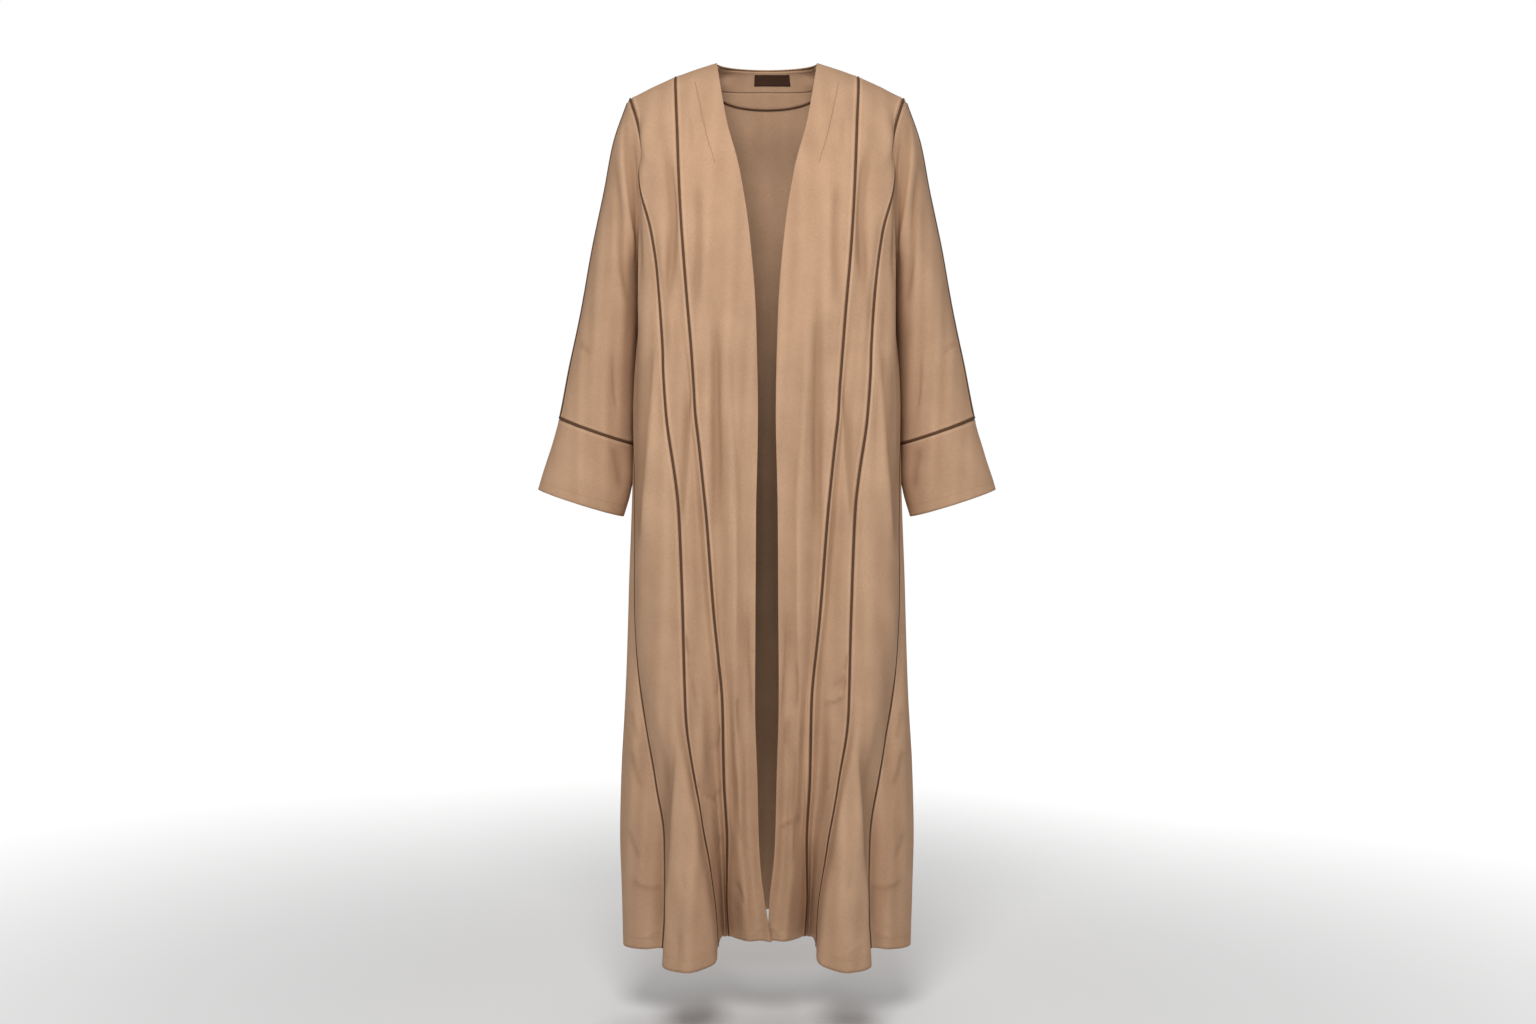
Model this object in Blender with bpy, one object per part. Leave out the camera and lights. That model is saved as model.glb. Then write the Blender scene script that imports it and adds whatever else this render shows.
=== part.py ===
"""Abaya cloak: a long open-front robe of woven cloth with piped seams, filled out as on a wearer.

Metres, +Z up, the front faces -Y. The origin is midway between the neck points, on the shoulder line.
Tables give one half of the garment: "out" is the distance from the middle, "fore" the distance in front
of the shoulder line, and "down" the distance below the neck points.
"""

import math

import bpy
import numpy as np

# Cloth and seams
CLOTH = 0.002
TRIM_CLOTH = 0.0012
LABEL_CLOTH = 0.0008
GAP = 0.0003
PIPING_HALF_WIDTH = 0.0018
PIPING_HALF_DEPTH = 0.0013
CUFF_PIPING_HALF_WIDTH = 0.0022
ARMHOLE_CORD = 0.0021
SEAM_TRIM = PIPING_HALF_WIDTH + 3 * GAP
CUFF_TRIM = CUFF_PIPING_HALF_WIDTH + GAP
ARMHOLE_TRIM = ARMHOLE_CORD + 6 * GAP
PIPING_END = 0.0078
SHOULDER_GAP = 0.0002

# Neck and shoulder
NECK_HALF_WIDTH = 0.0787
NECK_DEPTH = 0.060
NECK_DROP = 0.001
SHOULDER_HALF_WIDTH = 0.2147
SHOULDER_DROP = 0.056
SHOULDER_ROUND = 0.0045
YOKE_DEPTH = 0.18
TOP_EASE = 0.03

# Armhole: an upright loop from the shoulder tip round the underarm
UNDERARM_DOWN = 0.300
UNDERARM_OUT = 0.1995
ARMHOLE_SAG = 0.0196
ARMHOLE_FORE = 0.066
ARMHOLE_BACK = 0.075
ARMHOLE_STEPS = 12
SEAM_B_STEP = 5
UNDERARM_CLEAR = math.radians(178.0)

# Hem
HEM_LEVEL = 1.40
HEM_FROM = 1.28
LOWER_LEVELS = (
    (0.335, 0.38, 0.44, 0.51, 0.58, 0.66, 0.74, 0.83, 0.92)
    + (1.01, 1.10, 1.18, 1.25, 1.31, 1.36, HEM_LEVEL)
)
SIDE_START_LEVEL = 0.148

# Front centre panel: a row is a level, a column a fold or seam, each as (out, fore)
CENTRE_STRANDS = ("edge", "centre_1", "centre_2", "centre_3", "seam_a")
CENTRE_HEM = (1.378, 1.377, 1.376, 1.377, 1.380)
CENTRE_SECTIONS = (
    (0.00, (0.0787, 0.000), (0.0950, 0.000), (0.1110, 0.000), (0.1270, 0.000), (0.1431, 0.000)),
    (0.10, (0.0615, 0.088), (0.0800, 0.088), (0.0980, 0.089), (0.1180, 0.088), (0.1377, 0.087)),
    (0.18, (0.0409, 0.115), (0.0640, 0.117), (0.0880, 0.118), (0.1110, 0.117), (0.1341, 0.115)),
    (0.28, (0.0259, 0.134), (0.0500, 0.138), (0.0760, 0.140), (0.1019, 0.139), (0.1279, 0.136)),
    (0.40, (0.0167, 0.134), (0.0400, 0.138), (0.0640, 0.138), (0.0900, 0.137), (0.1185, 0.135)),
    (0.55, (0.0137, 0.127), (0.0350, 0.131), (0.0560, 0.131), (0.0790, 0.124), (0.1073, 0.127)),
    (0.70, (0.0165, 0.119), (0.0350, 0.120), (0.0520, 0.124), (0.0764, 0.115), (0.0928, 0.119)),
    (0.85, (0.0172, 0.112), (0.0322, 0.107), (0.0482, 0.115), (0.0740, 0.104), (0.0819, 0.109)),
    (1.00, (0.0182, 0.100), (0.0323, 0.094), (0.0492, 0.103), (0.0616, 0.091), (0.0686, 0.095)),
    (1.12, (0.0148, 0.086), (0.0310, 0.079), (0.0447, 0.089), (0.0559, 0.077), (0.0665, 0.073)),
    (1.22, (0.0119, 0.075), (0.0264, 0.068), (0.0403, 0.077), (0.0531, 0.063), (0.0626, 0.055)),
    (1.31, (0.0046, 0.065), (0.0187, 0.058), (0.0342, 0.067), (0.0500, 0.050), (0.0633, 0.032)),
    (1.40, (-0.0068, 0.054), (0.0110, 0.048), (0.0290, 0.057), (0.0460, 0.038), (0.0596, 0.012)),
)
# The left front's edge stops short of the middle at the hem and lies behind the right front's
LEFT_EDGE_HEM = (0.0010, 0.044)

# Front middle panel, out to the armhole above and to seam B below
MIDDLE_STRANDS = ("middle_1", "middle_2")
MIDDLE_HEM = (1.386, 1.378)
MIDDLE_SECTIONS = (
    (0.00, (0.1660, 0.000), (0.1900, 0.000)),
    (0.10, (0.1655, 0.083), (0.1934, 0.072)),
    (0.18, (0.1595, 0.112), (0.1782, 0.105)),
    (0.28, (0.1463, 0.129), (0.1618, 0.127)),
    (0.40, (0.1325, 0.128), (0.1463, 0.129)),
    (0.55, (0.1161, 0.117), (0.1330, 0.123)),
    (0.70, (0.1090, 0.106), (0.1225, 0.112)),
    (0.85, (0.0950, 0.099), (0.1130, 0.106)),
    (1.00, (0.0835, 0.086), (0.1045, 0.099)),
    (1.12, (0.0775, 0.065), (0.0950, 0.089)),
    (1.22, (0.0718, 0.046), (0.0830, 0.072)),
    (1.31, (0.0690, 0.017), (0.0768, 0.044)),
    (1.40, (0.0660, -0.006), (0.0725, 0.028)),
)

# Front side panel, from seam B out to the armhole above and to the side seam below
SIDE_STRANDS = ("seam_b", "side_1", "side_2", "side_3", "side_4")
SIDE_HEM = (1.382, 1.394, 1.400, 1.398, 1.394)
SIDE_SECTIONS = (
    (0.18, (0.1948, 0.085), (0.1942, 0.082), (0.1932, 0.079), (0.1918, 0.076), (0.1898, 0.072)),
    (0.28, (0.1743, 0.118), (0.1815, 0.113), (0.1890, 0.104), (0.1951, 0.088), (0.1912, 0.062)),
    (0.33, (0.1670, 0.118), (0.1765, 0.113), (0.1870, 0.104), (0.1957, 0.087), (0.1900, 0.047)),
    (0.40, (0.1610, 0.117), (0.1720, 0.114), (0.1850, 0.105), (0.1958, 0.087), (0.1950, 0.048)),
    (0.55, (0.1521, 0.118), (0.1673, 0.108), (0.1820, 0.105), (0.1956, 0.085), (0.2030, 0.057)),
    (0.70, (0.1345, 0.115), (0.1608, 0.113), (0.1831, 0.100), (0.1960, 0.082), (0.2030, 0.060)),
    (0.85, (0.1291, 0.112), (0.1516, 0.120), (0.1765, 0.108), (0.1950, 0.085), (0.2030, 0.062)),
    (1.00, (0.1254, 0.110), (0.1452, 0.122), (0.1640, 0.112), (0.1800, 0.088), (0.1890, 0.068)),
    (1.12, (0.1112, 0.105), (0.1234, 0.128), (0.1400, 0.120), (0.1560, 0.092), (0.1660, 0.074)),
    (1.22, (0.0937, 0.095), (0.1080, 0.132), (0.1325, 0.131), (0.1490, 0.102), (0.1545, 0.077)),
    (1.31, (0.0825, 0.075), (0.0930, 0.127), (0.1240, 0.142), (0.1510, 0.117), (0.1550, 0.082)),
    (1.40, (0.0770, 0.062), (0.0830, 0.118), (0.1190, 0.141), (0.1570, 0.124), (0.1610, 0.088)),
)

# Side seam and back, from the side seam round to the middle of the back
BACK_STRANDS = ("seam_c", "flank", "side", "back_side", "back_3", "back_2", "back_1", "back_middle")
BACK_HEM = (1.390, 1.395, 1.400, 1.400, 1.398, 1.396, 1.393, 1.387)
BACK_LOWER_SECTIONS = (
    (0.330, (0.1870, 0.003), (0.1875, -0.012), (0.1890, -0.042), (0.1830, -0.078)),
    (0.40, (0.1990, 0.012), (0.2000, -0.006), (0.1995, -0.038), (0.1880, -0.078)),
    (0.55, (0.2086, 0.030), (0.2088, 0.010), (0.2065, -0.025), (0.1950, -0.075)),
    (0.70, (0.2060, 0.040), (0.2120, 0.015), (0.2131, -0.015), (0.2000, -0.076)),
    (0.85, (0.2067, 0.040), (0.2160, 0.018), (0.2194, -0.012), (0.2060, -0.082)),
    (1.00, (0.1938, 0.050), (0.2120, 0.038), (0.2242, -0.005), (0.2120, -0.088)),
    (1.12, (0.1732, 0.060), (0.2050, 0.047), (0.2300, 0.000), (0.2170, -0.080)),
    (1.22, (0.1600, 0.055), (0.1960, 0.048), (0.2318, 0.000), (0.2190, -0.082)),
    (1.31, (0.1580, 0.050), (0.1950, 0.040), (0.2295, -0.003), (0.2180, -0.083)),
    (1.40, (0.1630, 0.045), (0.1950, 0.034), (0.2255, 0.000), (0.2160, -0.085)),
)
BACK_UPPER_SECTIONS = (
    (0.00, (0.2030, 0.000), (0.1880, 0.000), (0.1660, 0.000)),
    (0.10, (0.1910, -0.073), (0.1840, -0.078), (0.1720, -0.083)),
    (0.18, (0.1840, -0.085), (0.1790, -0.091), (0.1690, -0.098)),
    (0.28, (0.1925, -0.052), (0.1925, -0.064), (0.1830, -0.086)),
)
BACK_SECTIONS = (
    (0.00, (0.1200, 0.000), (0.0787, 0.000), (0.0450, -0.049), (0.0000, -0.060)),
    (0.10, (0.1500, -0.083), (0.1020, -0.091), (0.0520, -0.090), (0.0000, -0.085)),
    (0.18, (0.1480, -0.106), (0.1060, -0.113), (0.0540, -0.113), (0.0000, -0.108)),
    (0.28, (0.1540, -0.106), (0.1080, -0.116), (0.0550, -0.118), (0.0000, -0.111)),
    (0.40, (0.1560, -0.105), (0.1080, -0.109), (0.0550, -0.115), (0.0000, -0.104)),
    (0.55, (0.1600, -0.107), (0.1100, -0.104), (0.0560, -0.117), (0.0000, -0.101)),
    (0.70, (0.1640, -0.114), (0.1120, -0.104), (0.0570, -0.125), (0.0000, -0.104)),
    (0.85, (0.1690, -0.119), (0.1150, -0.112), (0.0590, -0.137), (0.0000, -0.116)),
    (1.00, (0.1730, -0.129), (0.1180, -0.122), (0.0600, -0.150), (0.0000, -0.130)),
    (1.12, (0.1755, -0.137), (0.1200, -0.132), (0.0610, -0.164), (0.0000, -0.144)),
    (1.22, (0.1765, -0.143), (0.1210, -0.140), (0.0620, -0.175), (0.0000, -0.155)),
    (1.31, (0.1770, -0.148), (0.1220, -0.147), (0.0620, -0.184), (0.0000, -0.165)),
    (1.40, (0.1770, -0.152), (0.1220, -0.153), (0.0620, -0.191), (0.0000, -0.172)),
)
# The side seam turns under the arm before it runs down
UNDERARM_TURN = (0.306, (0.1935, 0.001))

# Columns across each panel, as fractions of the strand count
CENTRE_COLUMNS = np.linspace(0, 4, 9)
MIDDLE_COLUMNS = np.linspace(0, 3, 7)
SIDE_COLUMNS = np.array([0, 0.5, 1, 1.5, 2, 2.5, 3, 4, 5])
HALF_BACK_COLUMNS = np.array([0, 1, 2, 2.5, 3, 3.5, 4, 4.5, 5, 5.5, 6, 6.5, 7])

# Sleeve: a row is a place down the sleeve, with its outer and inner points as (out, down), its half
# depths before and behind, and how far behind the shoulder line its middle lies
SLEEVE_SECTIONS = (
    (0.00, (0.2147, 0.056), (0.1995, 0.300), 0.066, 0.075, 0.000),
    (0.14, (0.2400, 0.127), (0.2015, 0.325), 0.072, 0.076, 0.005),
    (0.28, (0.2544, 0.199), (0.2022, 0.362), 0.072, 0.074, 0.009),
    (0.46, (0.2750, 0.294), (0.2048, 0.412), 0.068, 0.069, 0.013),
    (0.64, (0.2926, 0.389), (0.2082, 0.466), 0.062, 0.063, 0.017),
    (0.82, (0.3120, 0.475), (0.2116, 0.532), 0.057, 0.058, 0.020),
    (1.00, (0.3290, 0.557), (0.2128, 0.598), 0.054, 0.055, 0.020),
    (1.20, (0.3460, 0.614), (0.2130, 0.644), 0.051, 0.052, 0.020),
    (1.30, (0.3550, 0.643), (0.2185, 0.678), 0.049, 0.050, 0.020),
    (1.40, (0.3640, 0.671), (0.2290, 0.714), 0.046, 0.047, 0.020),
)
SLEEVE_ROWS = (0.07, 0.14, 0.23, 0.33, 0.44, 0.55, 0.66, 0.77, 0.88)
CUFF_SEAM = 1.0
CUFF_HEM = 1.40
CUFF_ROWS = (1.1, 1.2, 1.3)
CUFF_COLUMNS = 24
ARMHOLE_BLEND = 0.30
OVERARM_TURN = math.radians(16)
OVERARM_START = 0.035
UNDERARM_HALF_GAP = 0.0002
# The sleeve's sides move down this much slower than its outer line, so a trim there needs more of a row
SLOWEST_SIDE = 0.8

# Inside the back neck
BAND_DEPTH = 0.035
FACING_DEPTH = 0.062
FACING_SIDE_DEPTH = 0.048
FACING_CURVE_PLACES = 1.6
LINING_GAP = 0.0006
BINDING_HALF_WIDTH = 0.0017
BINDING_HALF_DEPTH = 0.0010
BAND_TOP = 0.0010
LABEL_MIDDLE = 0.0085
LABEL_HALF_WIDTH = 0.0290
LABEL_TOP = 0.0055
LABEL_BOTTOM = 0.0240

CLOTH_COLOUR = (0.50, 0.32, 0.20, 1.0)
PIPING_COLOUR = (0.10, 0.05, 0.03, 1.0)
LABEL_COLOUR = (0.06, 0.025, 0.012, 1.0)

# Small steps used to find directions: along a strand, across a row, and round or down a sleeve
STEP = 0.002
PLACE_STEP = 0.02
SLEEVE_STEP = 0.02
FINE_STEPS = 12
MOST_SLANT = 0.4
SHARP_ANGLE = math.radians(50)


# Curves

def eased(knots, values, at):
    """A smooth curve through values at knots that never overshoots them."""
    knots = np.asarray(knots, float)
    values = np.asarray(values, float)
    spans = np.diff(knots)
    slopes = np.diff(values) / spans
    tangents = np.empty(len(values))
    tangents[0] = slopes[0]
    tangents[-1] = slopes[-1]
    for i in range(1, len(slopes)):
        before, after = slopes[i - 1], slopes[i]
        if before * after <= 0:
            tangents[i] = 0.0
            continue
        near = 2 * spans[i] + spans[i - 1]
        far = spans[i] + 2 * spans[i - 1]
        tangents[i] = (near + far) / (near / before + far / after)
    i = int(np.clip(np.searchsorted(knots, at) - 1, 0, len(spans) - 1))
    s = (at - knots[i]) / spans[i]
    return hermite(values[i], values[i + 1], tangents[i] * spans[i], tangents[i + 1] * spans[i], s)


def hermite(start, end, leaving, arriving, s):
    return (
        (2 * s**3 - 3 * s**2 + 1) * start
        + (s**3 - 2 * s**2 + s) * leaving
        + (3 * s**2 - 2 * s**3) * end
        + (s**3 - s**2) * arriving
    )


def through(points, places):
    """Points of the smooth curve through the given points, at places counted in points from the first."""
    chords = np.maximum(np.linalg.norm(np.diff(points, axis=0), axis=1), 1e-6)
    slopes = np.diff(points, axis=0) / chords[:, None]
    tangents = np.empty_like(points)
    tangents[0] = slopes[0]
    tangents[-1] = slopes[-1]
    before, after = chords[:-1, None], chords[1:, None]
    tangents[1:-1] = (after * slopes[:-1] + before * slopes[1:]) / (before + after)
    i = np.clip(np.floor(places).astype(int), 0, len(chords) - 1)
    s = (np.asarray(places, float) - i)[:, None]
    reach = chords[i][:, None]
    return hermite(points[i], points[i + 1], tangents[i] * reach, tangents[i + 1] * reach, s)


def unit(vectors):
    return vectors / np.maximum(np.linalg.norm(vectors, axis=-1, keepdims=True), 1e-12)


def smooth_step(s):
    s = min(max(s, 0.0), 1.0)
    return s * s * (3 - 2 * s)


# Shoulder, neck and armhole

def shoulder_height(out):
    s = np.clip((out - NECK_HALF_WIDTH) / (SHOULDER_HALF_WIDTH - NECK_HALF_WIDTH), 0, 1.02)
    return -SHOULDER_DROP * s + SHOULDER_ROUND * np.sin(math.pi * np.clip(s, 0, 1))


def neck_point(out):
    """The back's top edge at this distance from the middle: the neck curve, then the shoulder line."""
    s = np.clip(np.abs(out) / NECK_HALF_WIDTH, 0, 1)
    curve = np.sqrt(1 - s**2)
    drop = shoulder_height(np.abs(out)) - NECK_DROP * curve
    return np.stack([out, NECK_DEPTH * curve, drop], axis=-1)


def armhole_point(angle, behind):
    """A point of the right armhole's loop: angle 0 is the shoulder tip, a half turn the underarm."""
    mean = (SHOULDER_HALF_WIDTH + UNDERARM_OUT) / 2
    lean = (SHOULDER_HALF_WIDTH - UNDERARM_OUT) / 2
    middle = (SHOULDER_DROP + UNDERARM_DOWN) / 2
    half_height = (UNDERARM_DOWN - SHOULDER_DROP) / 2
    out = mean + lean * math.cos(angle) - ARMHOLE_SAG * math.sin(angle) ** 2
    depth = ARMHOLE_BACK if behind else -ARMHOLE_FORE
    return np.array([-out, depth * math.sin(angle), half_height * math.cos(angle) - middle])


def into_body(angle, behind):
    """The way from the armhole into the body's cloth: more along the shoulder at the top, back elsewhere."""
    across = 0.25 + 0.75 * math.cos(angle) ** 2
    round_loop = 1 - 0.6 * max(0.0, math.cos(angle)) ** 2
    side = 1.0 if behind else -1.0
    radial = np.array([0.0, side * math.sin(angle), math.cos(angle)])
    return unit(np.array([across, 0.0, 0.0]) + round_loop * radial)


def into_sleeve(angle):
    """The way from the armhole into the sleeve: outward and down, more down towards the underarm."""
    return unit(np.array([-1.0, 0.0, -0.35 - 0.35 * (1 - math.cos(angle)) / 2]))


def level_of_angle(angle):
    height = armhole_point(angle, False)[2]
    level = max(0.0, (-SHOULDER_DROP - height) / (1 - SHOULDER_DROP / YOKE_DEPTH))
    return level if level < YOKE_DEPTH else -height


def angle_of_level(level):
    height = level_height(SHOULDER_HALF_WIDTH, level, HEM_LEVEL)
    middle = (SHOULDER_DROP + UNDERARM_DOWN) / 2
    half_height = (UNDERARM_DOWN - SHOULDER_DROP) / 2
    angle = math.acos(np.clip((height + middle) / half_height, -1, 1))
    return min(angle, UNDERARM_CLEAR)


def level_height(start_out, level, hem):
    """Height of a strand at a level: sloped with the shoulder above, drawn to its own hem below."""
    if level < YOKE_DEPTH:
        return shoulder_height(start_out) * (1 - level / YOKE_DEPTH) - level
    if level < HEM_FROM:
        return -level
    share = (hem - HEM_FROM) / (HEM_LEVEL - HEM_FROM)
    return -HEM_FROM - (level - HEM_FROM) * share


ARMHOLE_ANGLES = [math.pi * k / ARMHOLE_STEPS for k in range(ARMHOLE_STEPS + 1)]
ARMHOLE_LEVELS = [level_of_angle(angle) for angle in ARMHOLE_ANGLES]
SEAM_B_LEVEL = ARMHOLE_LEVELS[SEAM_B_STEP]
BODY_LEVELS = tuple(ARMHOLE_LEVELS) + LOWER_LEVELS
FRONT_LEVELS = tuple(sorted(BODY_LEVELS + (SIDE_START_LEVEL,)))
BACK_LEVELS = tuple(sorted(BODY_LEVELS + (BAND_DEPTH, FACING_DEPTH)))


# Strands: each runs from the shoulder or the armhole to the hem

def strand_table(names, sections, hems):
    found = {}
    for column, name in enumerate(names):
        found[name] = {
            "levels": [row[0] for row in sections],
            "out": [row[1 + column][0] for row in sections],
            "fore": [row[1 + column][1] for row in sections],
            "hem": hems[column],
        }
    return found


def with_start(strand, level, point):
    return {
        "levels": [level] + strand["levels"],
        "out": [-point[0]] + strand["out"],
        "fore": [-point[1]] + strand["fore"],
        "hem": strand["hem"],
    }


def body_strands():
    found = strand_table(CENTRE_STRANDS, CENTRE_SECTIONS, CENTRE_HEM)
    found |= strand_table(MIDDLE_STRANDS, MIDDLE_SECTIONS, MIDDLE_HEM)
    seam_b_start = armhole_point(ARMHOLE_ANGLES[SEAM_B_STEP], False)
    for name, strand in strand_table(SIDE_STRANDS, SIDE_SECTIONS, SIDE_HEM).items():
        found[name] = with_start(strand, SEAM_B_LEVEL, seam_b_start)
    lower = strand_table(BACK_STRANDS[:4], BACK_LOWER_SECTIONS, BACK_HEM[:4])
    upper = strand_table(BACK_STRANDS[1:4], BACK_UPPER_SECTIONS, BACK_HEM[1:4])
    for name, strand in upper.items():
        for key in ("levels", "out", "fore"):
            strand[key] += lower[name][key]
        found[name] = strand
    turn_level, turn = UNDERARM_TURN
    turned = with_start(lower["seam_c"], turn_level, np.array([-turn[0], -turn[1]]))
    found["seam_c"] = with_start(turned, UNDERARM_DOWN, armhole_point(math.pi, False))
    found |= strand_table(BACK_STRANDS[4:], BACK_SECTIONS, BACK_HEM[4:])
    return found


RIGHT_STRANDS = body_strands()
LEFT_STRANDS = dict(RIGHT_STRANDS)
LEFT_STRANDS["edge"] = dict(RIGHT_STRANDS["edge"])
LEFT_STRANDS["edge"]["out"] = RIGHT_STRANDS["edge"]["out"][:-1] + [LEFT_EDGE_HEM[0]]
LEFT_STRANDS["edge"]["fore"] = RIGHT_STRANDS["edge"]["fore"][:-1] + [LEFT_EDGE_HEM[1]]


def strand_point(strand, level):
    """The strand's point at a level. Its depth is eased in the root of the level, so the shoulder is round."""
    out = eased(strand["levels"], strand["out"], level)
    fore = eased(np.sqrt(strand["levels"]), strand["fore"], math.sqrt(max(level, 0.0)))
    start = strand["out"][0] if strand["levels"][0] == 0 else SHOULDER_HALF_WIDTH
    return np.array([-out, -fore, level_height(start, level, strand["hem"])])


def armhole_edge(level, behind):
    angle = angle_of_level(level)
    return armhole_point(angle, behind) + ARMHOLE_TRIM * into_body(angle, behind)


# The body's surface, drawn for the right half, whose cloth lies at -X

FRONT_ORDER = CENTRE_STRANDS + MIDDLE_STRANDS + SIDE_STRANDS
SEAM_A_PLACE = len(CENTRE_STRANDS) - 1
SEAM_B_PLACE = SEAM_A_PLACE + len(MIDDLE_STRANDS) + 1
SEAM_C_PLACE = SEAM_B_PLACE + len(SIDE_STRANDS)
BACK_PLACES = len(BACK_STRANDS) - 1
BACK_COLUMNS = np.concatenate([HALF_BACK_COLUMNS, 2 * BACK_PLACES - HALF_BACK_COLUMNS[-2::-1]])
FACING_COLUMNS = np.linspace(BACK_PLACES - 2.5, BACK_PLACES + 2.5, 11)


def shoulder_curve(points, places):
    """The points of the top edge between strands, on the shoulder line itself."""
    out = np.interp(places, np.arange(len(points)), points[:, 0])
    return neck_point(out)


def front_ring(strands, level, places):
    """Points across one front at a level, at places counted in strands from the front edge."""
    if level <= SEAM_B_LEVEL:
        names = CENTRE_STRANDS + MIDDLE_STRANDS
    else:
        names = FRONT_ORDER
    points = [strand_point(strands[name], level) for name in names]
    if level <= UNDERARM_DOWN:
        points.append(armhole_edge(level, False))
    else:
        points += [strand_point(strands[name], level) for name in ("seam_c", "flank", "side")]
    points = np.array(points)
    places = np.minimum(places, len(points) - 1)
    found = through(points, places)
    if level < TOP_EASE:
        top = [strand_point(strands[name], 0.0) for name in CENTRE_STRANDS + MIDDLE_STRANDS]
        top.append(armhole_edge(0.0, False))
        top = np.array(top)
        rise = shoulder_curve(top, places) - through(top, places)
        rise[:, 1] = -SHOULDER_GAP
        found = found + rise * (1 - smooth_step(level / TOP_EASE))
    return found


def back_ring(strands, level, places):
    """Points across the back at a level, at places from the right side seam to the left one."""
    outer = strand_point(strands["seam_c"], level) if level > UNDERARM_DOWN else armhole_edge(level, True)
    half = [outer] + [strand_point(strands[name], level) for name in BACK_STRANDS[1:]]
    if level > UNDERARM_DOWN:
        half.insert(0, strand_point(strands["side_4"], level))
    shift = 1 if level > UNDERARM_DOWN else 0
    half = np.array(half)
    other = half[-2::-1] * (-1, 1, 1)
    found = through(np.concatenate([half, other]), np.asarray(places) + shift)
    if level < TOP_EASE:
        half = [armhole_edge(0.0, True)] + [strand_point(strands[name], 0.0) for name in BACK_STRANDS[1:]]
        half = np.array(half)
        top = np.concatenate([half, half[-2::-1] * (-1, 1, 1)])
        rise = shoulder_curve(top, places) - through(top, places)
        rise[:, 1] += SHOULDER_GAP
        found = found + rise * (1 - smooth_step(level / TOP_EASE))
    return found


def normals_of(ring, level, places, top, last_place):
    """Unit normals of a surface given by its rings, by small steps along and across it."""
    above = ring(max(level - STEP, top), places)
    below = ring(min(level + STEP, HEM_LEVEL), places)
    one_way = ring(level, np.maximum(places - PLACE_STEP, 0))
    other_way = ring(level, np.minimum(places + PLACE_STEP, last_place))
    return unit(np.cross(other_way - one_way, below - above))


def body_row(ring, level, places, top, last_place, trims):
    """A panel's row: points and normals at the places, with the end points moved in from the seams."""
    fine = np.linspace(places[0], places[-1], FINE_STEPS * (len(places) - 1) + 1)
    curve = ring(level, fine)
    runs = np.concatenate([[0.0], np.cumsum(np.linalg.norm(np.diff(curve, axis=0), axis=1))])
    first = np.interp(trims[0], runs, fine)
    last = np.interp(runs[-1] - trims[1], runs, fine)
    placed = np.clip(places, first, last)
    if (placed <= first).sum() > 1 or (placed >= last).sum() > 1:
        placed = first + (places - places[0]) * (last - first) / (places[-1] - places[0])
    return ring(level, placed), normals_of(ring, level, placed, top, last_place)


# Meshes

def flat_top(normals):
    """Keeps the wall's end upright where the front meets the back along the shoulder."""
    normals[:, 1] = 0.0
    return unit(normals)


def slanted(trim, ring, level, place):
    """The distance along a row that keeps this distance square to a seam which crosses it at a slant."""
    at = np.array([place])
    seam = unit(ring(level + STEP, at) - ring(level - STEP, at))[0]
    row = unit(ring(level, at + PLACE_STEP) - ring(level, at - PLACE_STEP))[0]
    return trim / max(np.linalg.norm(np.cross(seam, row)), MOST_SLANT)


def new_object(name, points, faces, material, mirrored):
    points = np.array(points, float)
    if mirrored:
        points = points * (-1, 1, 1)
    corners = np.array([points[list(face)[:3]] for face in faces])
    quads = np.array([points[[face[0], face[2], face[-1]]] for face in faces if len(face) == 4])
    volume = np.linalg.det(corners).sum() + np.linalg.det(quads).sum()
    if volume < 0:
        faces = [tuple(reversed(face)) for face in faces]
    mesh = bpy.data.meshes.new(name)
    mesh.from_pydata([tuple(point) for point in points], [], faces)
    mesh.validate()
    mesh.materials.append(material)
    mesh.shade_smooth()
    mesh.set_sharp_from_angle(angle=SHARP_ANGLE)
    made = bpy.data.objects.new(name, mesh)
    bpy.context.scene.collection.objects.link(made)
    return made


def wall(name, middle, normals, thickness, material, mirrored=False, ring_closed=False):
    """A closed wall of this thickness about a grid of middle points."""
    rows, columns = middle.shape[:2]
    outer = (middle + normals * thickness / 2).reshape(-1, 3)
    inner = (middle - normals * thickness / 2).reshape(-1, 3)
    points = np.concatenate([outer, inner])
    half = rows * columns
    faces = []
    around = columns if ring_closed else columns - 1

    def corner(row, column):
        return row * columns + column % columns

    for row in range(rows - 1):
        for column in range(around):
            square = (
                corner(row, column),
                corner(row + 1, column),
                corner(row + 1, column + 1),
                corner(row, column + 1),
            )
            for face in (square[:3], (square[0], square[2], square[3])):
                faces.append(face)
                faces.append(tuple(half + index for index in reversed(face)))
    rims = [[corner(0, column) for column in range(around + 1)]]
    rims.append([corner(rows - 1, column) for column in range(around, -1, -1)])
    if not ring_closed:
        rims.append([corner(row, 0) for row in range(rows - 1, -1, -1)])
        rims.append([corner(row, columns - 1) for row in range(rows)])
    for rim in rims:
        for a, b in zip(rim, rim[1:]):
            faces.append((a, b, half + b, half + a))
    return new_object(name, points, faces, material, mirrored)


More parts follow.
